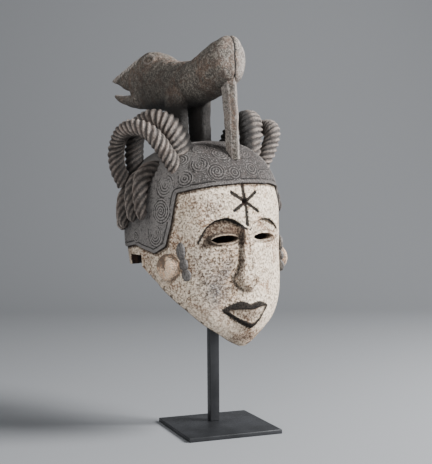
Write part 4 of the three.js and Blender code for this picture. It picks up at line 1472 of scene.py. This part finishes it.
def tail_prop():
    """The faceted tail with a ridge in front."""
    z, half, ridge, shoulder, back = stations(TAIL, TAIL_ROWS, TAIL_FOOT)
    corners = [(0 * half, ridge), (half, shoulder), (half, back), (-half, back), (-half, shoulder)]
    outline = []
    for (ax, ay), (bx, by) in zip(corners, corners[1:] + corners[:1]):
        for part in np.linspace(0, 1, TAIL_FACET, endpoint=False):
            outline.append(np.stack([ax + (bx - ax) * part, ay + (by - ay) * part, z], axis=-1))
    sheet = np.array([*outline, outline[0]])
    sheet[..., 0] += hand_cut(sheet, 30, 21) * 0.35
    sheet[..., 1] += hand_cut(sheet, 22, 22) * 0.35
    piece = closed("tail_prop", keep_in_wall(sheet))
    x, _, z = to_mask(vectors(piece)).T
    width = flowing(*np.transpose(TAIL)[:2], z)
    edge = np.minimum(np.abs(np.abs(x) - width), np.abs(x)) < 1.4
    # Rubbed along the edges, and painted highlight on the half that faces the mask's left
    mark(piece, rub=0.5 * edge + 0.34 * smooth(0, 3, x), cut=0 * x)
    return piece


# Operators

class HELMET_OT_head(bpy.types.Operator):
    """Carves the hollow head with its face, coiffure, eye slits, rim notch and cord holes"""

    bl_idname = "helmet.head"
    bl_label = "Carve Head"

    def execute(self, context):
        look = context.scene.helmet_head
        head = carve_head(look)
        for side, _ in SIDES:
            cut(head, eye_tool(side))
        for tool in rim_tools():
            cut(head, tool)
        head_fields(head)
        finish_piece(head, head_finish(look))
        return {"FINISHED"}


class HELMET_OT_ropes(bpy.types.Operator):
    """Twists the four rope arches"""

    bl_idname = "helmet.ropes"
    bl_label = "Twist Rope Arches"

    def execute(self, context):
        look = context.scene.helmet_hair
        wood = dark_wood_finish("rope_wood", look)
        halves = {
            "outer": (look.outer_radius, look.outer_radius),
            "inner": (look.inner_across, look.inner_thick),
        }
        for side, label in SIDES:
            for kind, (path, swell, within, rear, least) in ROPES.items():
                path = np.multiply(path, (side, 1, 1))
                middle = path.mean(axis=0)

                def sizes(part):
                    swollen = 1 + swell * smooth(0.7, 0.3, part)
                    return [half / MM * swollen for half in halves[kind]]

                # Painted shade on the side facing the arch's middle, on the side facing the mask's
                # middle, on the rear leg, and a least amount all over
                def shade(outward, place, part):
                    return np.maximum.reduce(np.broadcast_arrays(
                        0.75 * smooth(-0.1, 0.85, (outward * unit(middle - place)).sum(axis=-1)),
                        within * smooth(-0.3, 0.7, -side * outward[..., 0]),
                        rear * smooth(0.52, 0.68, part),
                        least,
                    ))

                rope = twisted(
                    f"{kind}_rope_{label}", path, (1, 0, 0), look.strands, look.pitch / MM, sizes,
                    shade, look.groove, ROPE_ROW, ROPE_AROUND,
                )
                finish_piece(rope, wood)
        return {"FINISHED"}


class HELMET_OT_locks(bpy.types.Operator):
    """Twists the hanging locks over the ears"""

    bl_idname = "helmet.locks"
    bl_label = "Twist Locks"

    def execute(self, context):
        look = context.scene.helmet_hair
        wood = dark_wood_finish("lock_wood", look)

        def sizes(part):
            tip = np.sqrt(1 - np.clip((part - 0.9) / 0.1, 0, 0.96) ** 2)
            full = look.lock_radius / MM * np.minimum(1, 0.65 + part)
            return [full * (1 - LOCK_TAPER * part ** 2.2) * tip] * 2

        # Painted shade on the side of each lock that faces the front
        def shade(outward, place, part):
            return smooth(-0.35, 0.6, -outward[..., 1]) * 0.68

        for side, label in SIDES:
            made = []
            for x, y, top, tip in LOCKS:
                path = [(x + out, y + deep, top + up) for out, deep, up in LOCK_PATH]
                path = np.multiply([*path, (x + LOCK_END[0], y + LOCK_END[1], tip)], (side, 1, 1))
                made.append(twisted(
                    "lock", path, (0, 1, 0), look.lock_strands, look.lock_pitch / MM, sizes,
                    shade, look.groove, LOCK_ROW, LOCK_AROUND,
                ))
            finish_piece(joined(f"locks_{label}", made), wood)
        return {"FINISHED"}


class HELMET_OT_whorls(bpy.types.Operator):
    """Carves the ringed bosses of the coiffure"""

    bl_idname = "helmet.whorls"
    bl_label = "Carve Whorls"

    def execute(self, context):
        whorls = joined("coiffure_whorls", [
            whorl(turn, height, radius * WHORL_SCALE, radius > SPIRAL_FROM)
            for turn, height, radius in WHORLS
        ])
        # The side field: painted light and shade by the angle round the head
        mark(whorls, side=smooth(25, 70, np.abs(turn_of(to_mask(vectors(whorls))))))
        finish_piece(whorls, whorl_finish(context.scene.helmet_head))
        return {"FINISHED"}


class HELMET_OT_ears(bpy.types.Operator):
    """Carves both ears and the marks on the temples"""

    bl_idname = "helmet.ears"
    bl_label = "Carve Ears and Temple Marks"

    def execute(self, context):
        look = context.scene.helmet_head
        ears = joined("ears", [carved_ear(side) for side, _ in SIDES])
        _, y, z = to_mask(vectors(ears)).T
        boss, bowl = (
            np.hypot((y - at[1]) / half[1], (z - at[2]) / half[2])
            for at, half in ((EAR, EAR_HALF), (EAR_BOWL, EAR_BOWL_HALF))
        )
        # Rubbed brown on the rims of boss and hollow, and painted shade in the upper part of the
        # hollow
        rub = 0.7 * bell(bowl - 1, 0.25) * smooth(230, 246, z) + 1 - smooth(1.0, 0.7, boss - 0.12)
        rub += smooth(1.05, 0.75, bowl) * smooth(236, 250, z)
        mark(ears, rub=np.clip(rub, 0, 1))
        finish_piece(ears, ear_finish(look))
        marks = joined("temple_marks", [
            temple_mark(side, *boss) for side, _ in SIDES for boss in TEMPLE_MARKS
        ])
        mark(marks, rub=np.full(len(marks.data.vertices), 0.15))
        finish_piece(marks, slate_finish(look))
        return {"FINISHED"}


class HELMET_OT_beast(bpy.types.Operator):
    """Carves the crest beast with its legs, jaws, snout teeth and tail prop"""

    bl_idname = "helmet.beast"
    bl_label = "Carve Beast"

    def execute(self, context):
        look = context.scene.helmet_beast
        beast = joined("beast", [
            barrel("beast", BEAST_BODY, BODY_ROWS, BODY_AROUND),
            barrel("upper_jaw", UPPER_JAW, JAW_ROWS, JAW_AROUND),
            barrel("lower_jaw", LOWER_JAW, JAW_ROWS, JAW_AROUND),
            *(beast_leg(side) for side, _ in SIDES),
        ])
        remeshed(beast, look.voxel, 8)
        shape_beast(beast, look.notches)
        wood = dark_wood_finish("beast_wood", look, stranded=False)
        for piece in (beast, tail_prop()):
            finish_piece(piece, wood)
        return {"FINISHED"}


class HELMET_OT_stand(bpy.types.Operator):
    """Makes the square post and plate with eased edges"""

    bl_idname = "helmet.stand"
    bl_label = "Make Stand"

    def execute(self, context):
        look = context.scene.helmet_stand
        steel = steel_finish(look)
        low = PLATE_THICK + STAND_GAP
        for name, node, place, side, foot, top in (
            ("steel_plate", "stand_base", (0, 0), PLATE_SIDE, 0, PLATE_THICK),
            ("steel_post", "stand_post", (POST_X, POST_Y), POST_SIDE, low, POST_TOP),
        ):
            piece = named(primitive(
                "cube", size=1, location=Vector((*place, (foot + top) / 2)) * MM,
                rotation=(0, 0, TURN), scale=Vector((side, side, top - foot)) * MM,
            ), name)
            apply_place(piece)
            apply_modifier(piece, "BEVEL", width=look.bevel, segments=3)
            finish_piece(piece, steel, node, 30)
        return {"FINISHED"}


class HELMET_OT_stage(bpy.types.Operator):
    """Sets the floor, backdrop, soft lights and camera"""

    bl_idname = "helmet.stage"
    bl_label = "Set Stage"

    def execute(self, context):
        look = context.scene.helmet_stage
        floor = named(primitive("plane", size=1), "floor")
        mesh = floor.data
        set_points(floor, np.array([
            [x, y, 0] for y in (FLOOR_NEAR, FLOOR_FAR) for x in (-FLOOR_HALF, FLOOR_HALF)
        ]))
        edit(floor, lambda: bpy.ops.mesh.select_all(action="DESELECT"))
        for vertex in mesh.vertices:
            vertex.select = vertex.co.y > 0
        for edge in mesh.edges:
            edge.select = all(mesh.vertices[index].select for index in edge.vertices)
        bpy.ops.object.mode_set(mode="EDIT")
        rise = {"value": (0, 0, WALL_HIGH)}
        bpy.ops.mesh.extrude_region_move(TRANSFORM_OT_translate=rise)
        bpy.ops.object.mode_set(mode="OBJECT")
        apply_modifier(floor, "BEVEL", width=WALL_CURVE, segments=16, limit_method="ANGLE")
        alone(floor)
        bpy.ops.object.shade_smooth()
        mesh.transform(Matrix.Rotation(CAMERA_AROUND, 4, "Z"))
        mesh.materials.append(Finish("pale_floor", look).done("floor", 0.75))

        world = bpy.data.worlds.new("soft_room")
        context.scene.world = world
        world.use_nodes = True
        room = world.node_tree.nodes["Background"].inputs
        room["Color"].default_value = ROOM_COLOUR
        room["Strength"].default_value = ROOM_LIGHT
        for name, place, energy, extent in (
            ("key_light", KEY_PLACE, look.key, KEY_SIZE),
            ("fill_light", FILL_PLACE, look.fill, FILL_SIZE),
        ):
            alone()
            bpy.ops.object.light_add(type="AREA", location=place)
            light = bpy.context.object
            light.name = name
            light.data.energy = energy
            light.data.size = extent
            aim = LIGHTS_AIM - Vector(place)
            light.rotation_euler = aim.to_track_quat("-Z", "Y").to_euler()

        bpy.ops.object.camera_add(location=CAMERA_PLACE)
        camera = bpy.context.object
        turn = Matrix.Rotation(CAMERA_AROUND, 3, "Z")
        tilt = Matrix.Rotation(math.pi / 2 - CAMERA_DOWN, 3, "X")
        roll = Matrix.Rotation(CAMERA_ROLL, 3, "Z")
        camera.rotation_euler = (turn @ tilt @ roll).to_euler()
        camera.data.sensor_width = 36
        camera.data.lens = look.focal_length
        context.scene.camera = camera
        return {"FINISHED"}


class HELMET_PT_panel(bpy.types.Panel):
    """Lists the steps that make the mask"""

    bl_label = "Helmet Mask"
    bl_idname = "HELMET_PT_panel"
    bl_space_type = "VIEW_3D"
    bl_region_type = "UI"
    bl_category = "Helmet Mask"

    def draw(self, context):
        for step in STEPS:
            self.layout.operator(step.bl_idname)


STEPS = (
    HELMET_OT_stage, HELMET_OT_stand, HELMET_OT_head, HELMET_OT_whorls, HELMET_OT_ropes,
    HELMET_OT_locks, HELMET_OT_ears, HELMET_OT_beast,
)
GROUPS = {
    "helmet_head": HeadSettings,
    "helmet_hair": HairSettings,
    "helmet_beast": BeastSettings,
    "helmet_stand": StandSettings,
    "helmet_stage": StageSettings,
}


def register():
    for name, group in GROUPS.items():
        bpy.utils.register_class(group)
        setattr(bpy.types.Scene, name, bpy.props.PointerProperty(type=group))
    for made in (*STEPS, HELMET_PT_panel):
        bpy.utils.register_class(made)


def unregister():
    for made in (HELMET_PT_panel, *reversed(STEPS)):
        bpy.utils.unregister_class(made)
    for name, group in reversed(GROUPS.items()):
        delattr(bpy.types.Scene, name)
        bpy.utils.unregister_class(group)


def main():
    register()
    for step in STEPS:
        name = step.bl_idname.split(".")[1]
        getattr(bpy.ops.helmet, name)()
        print(name, flush=True)


if __name__ == "__main__":
    main()
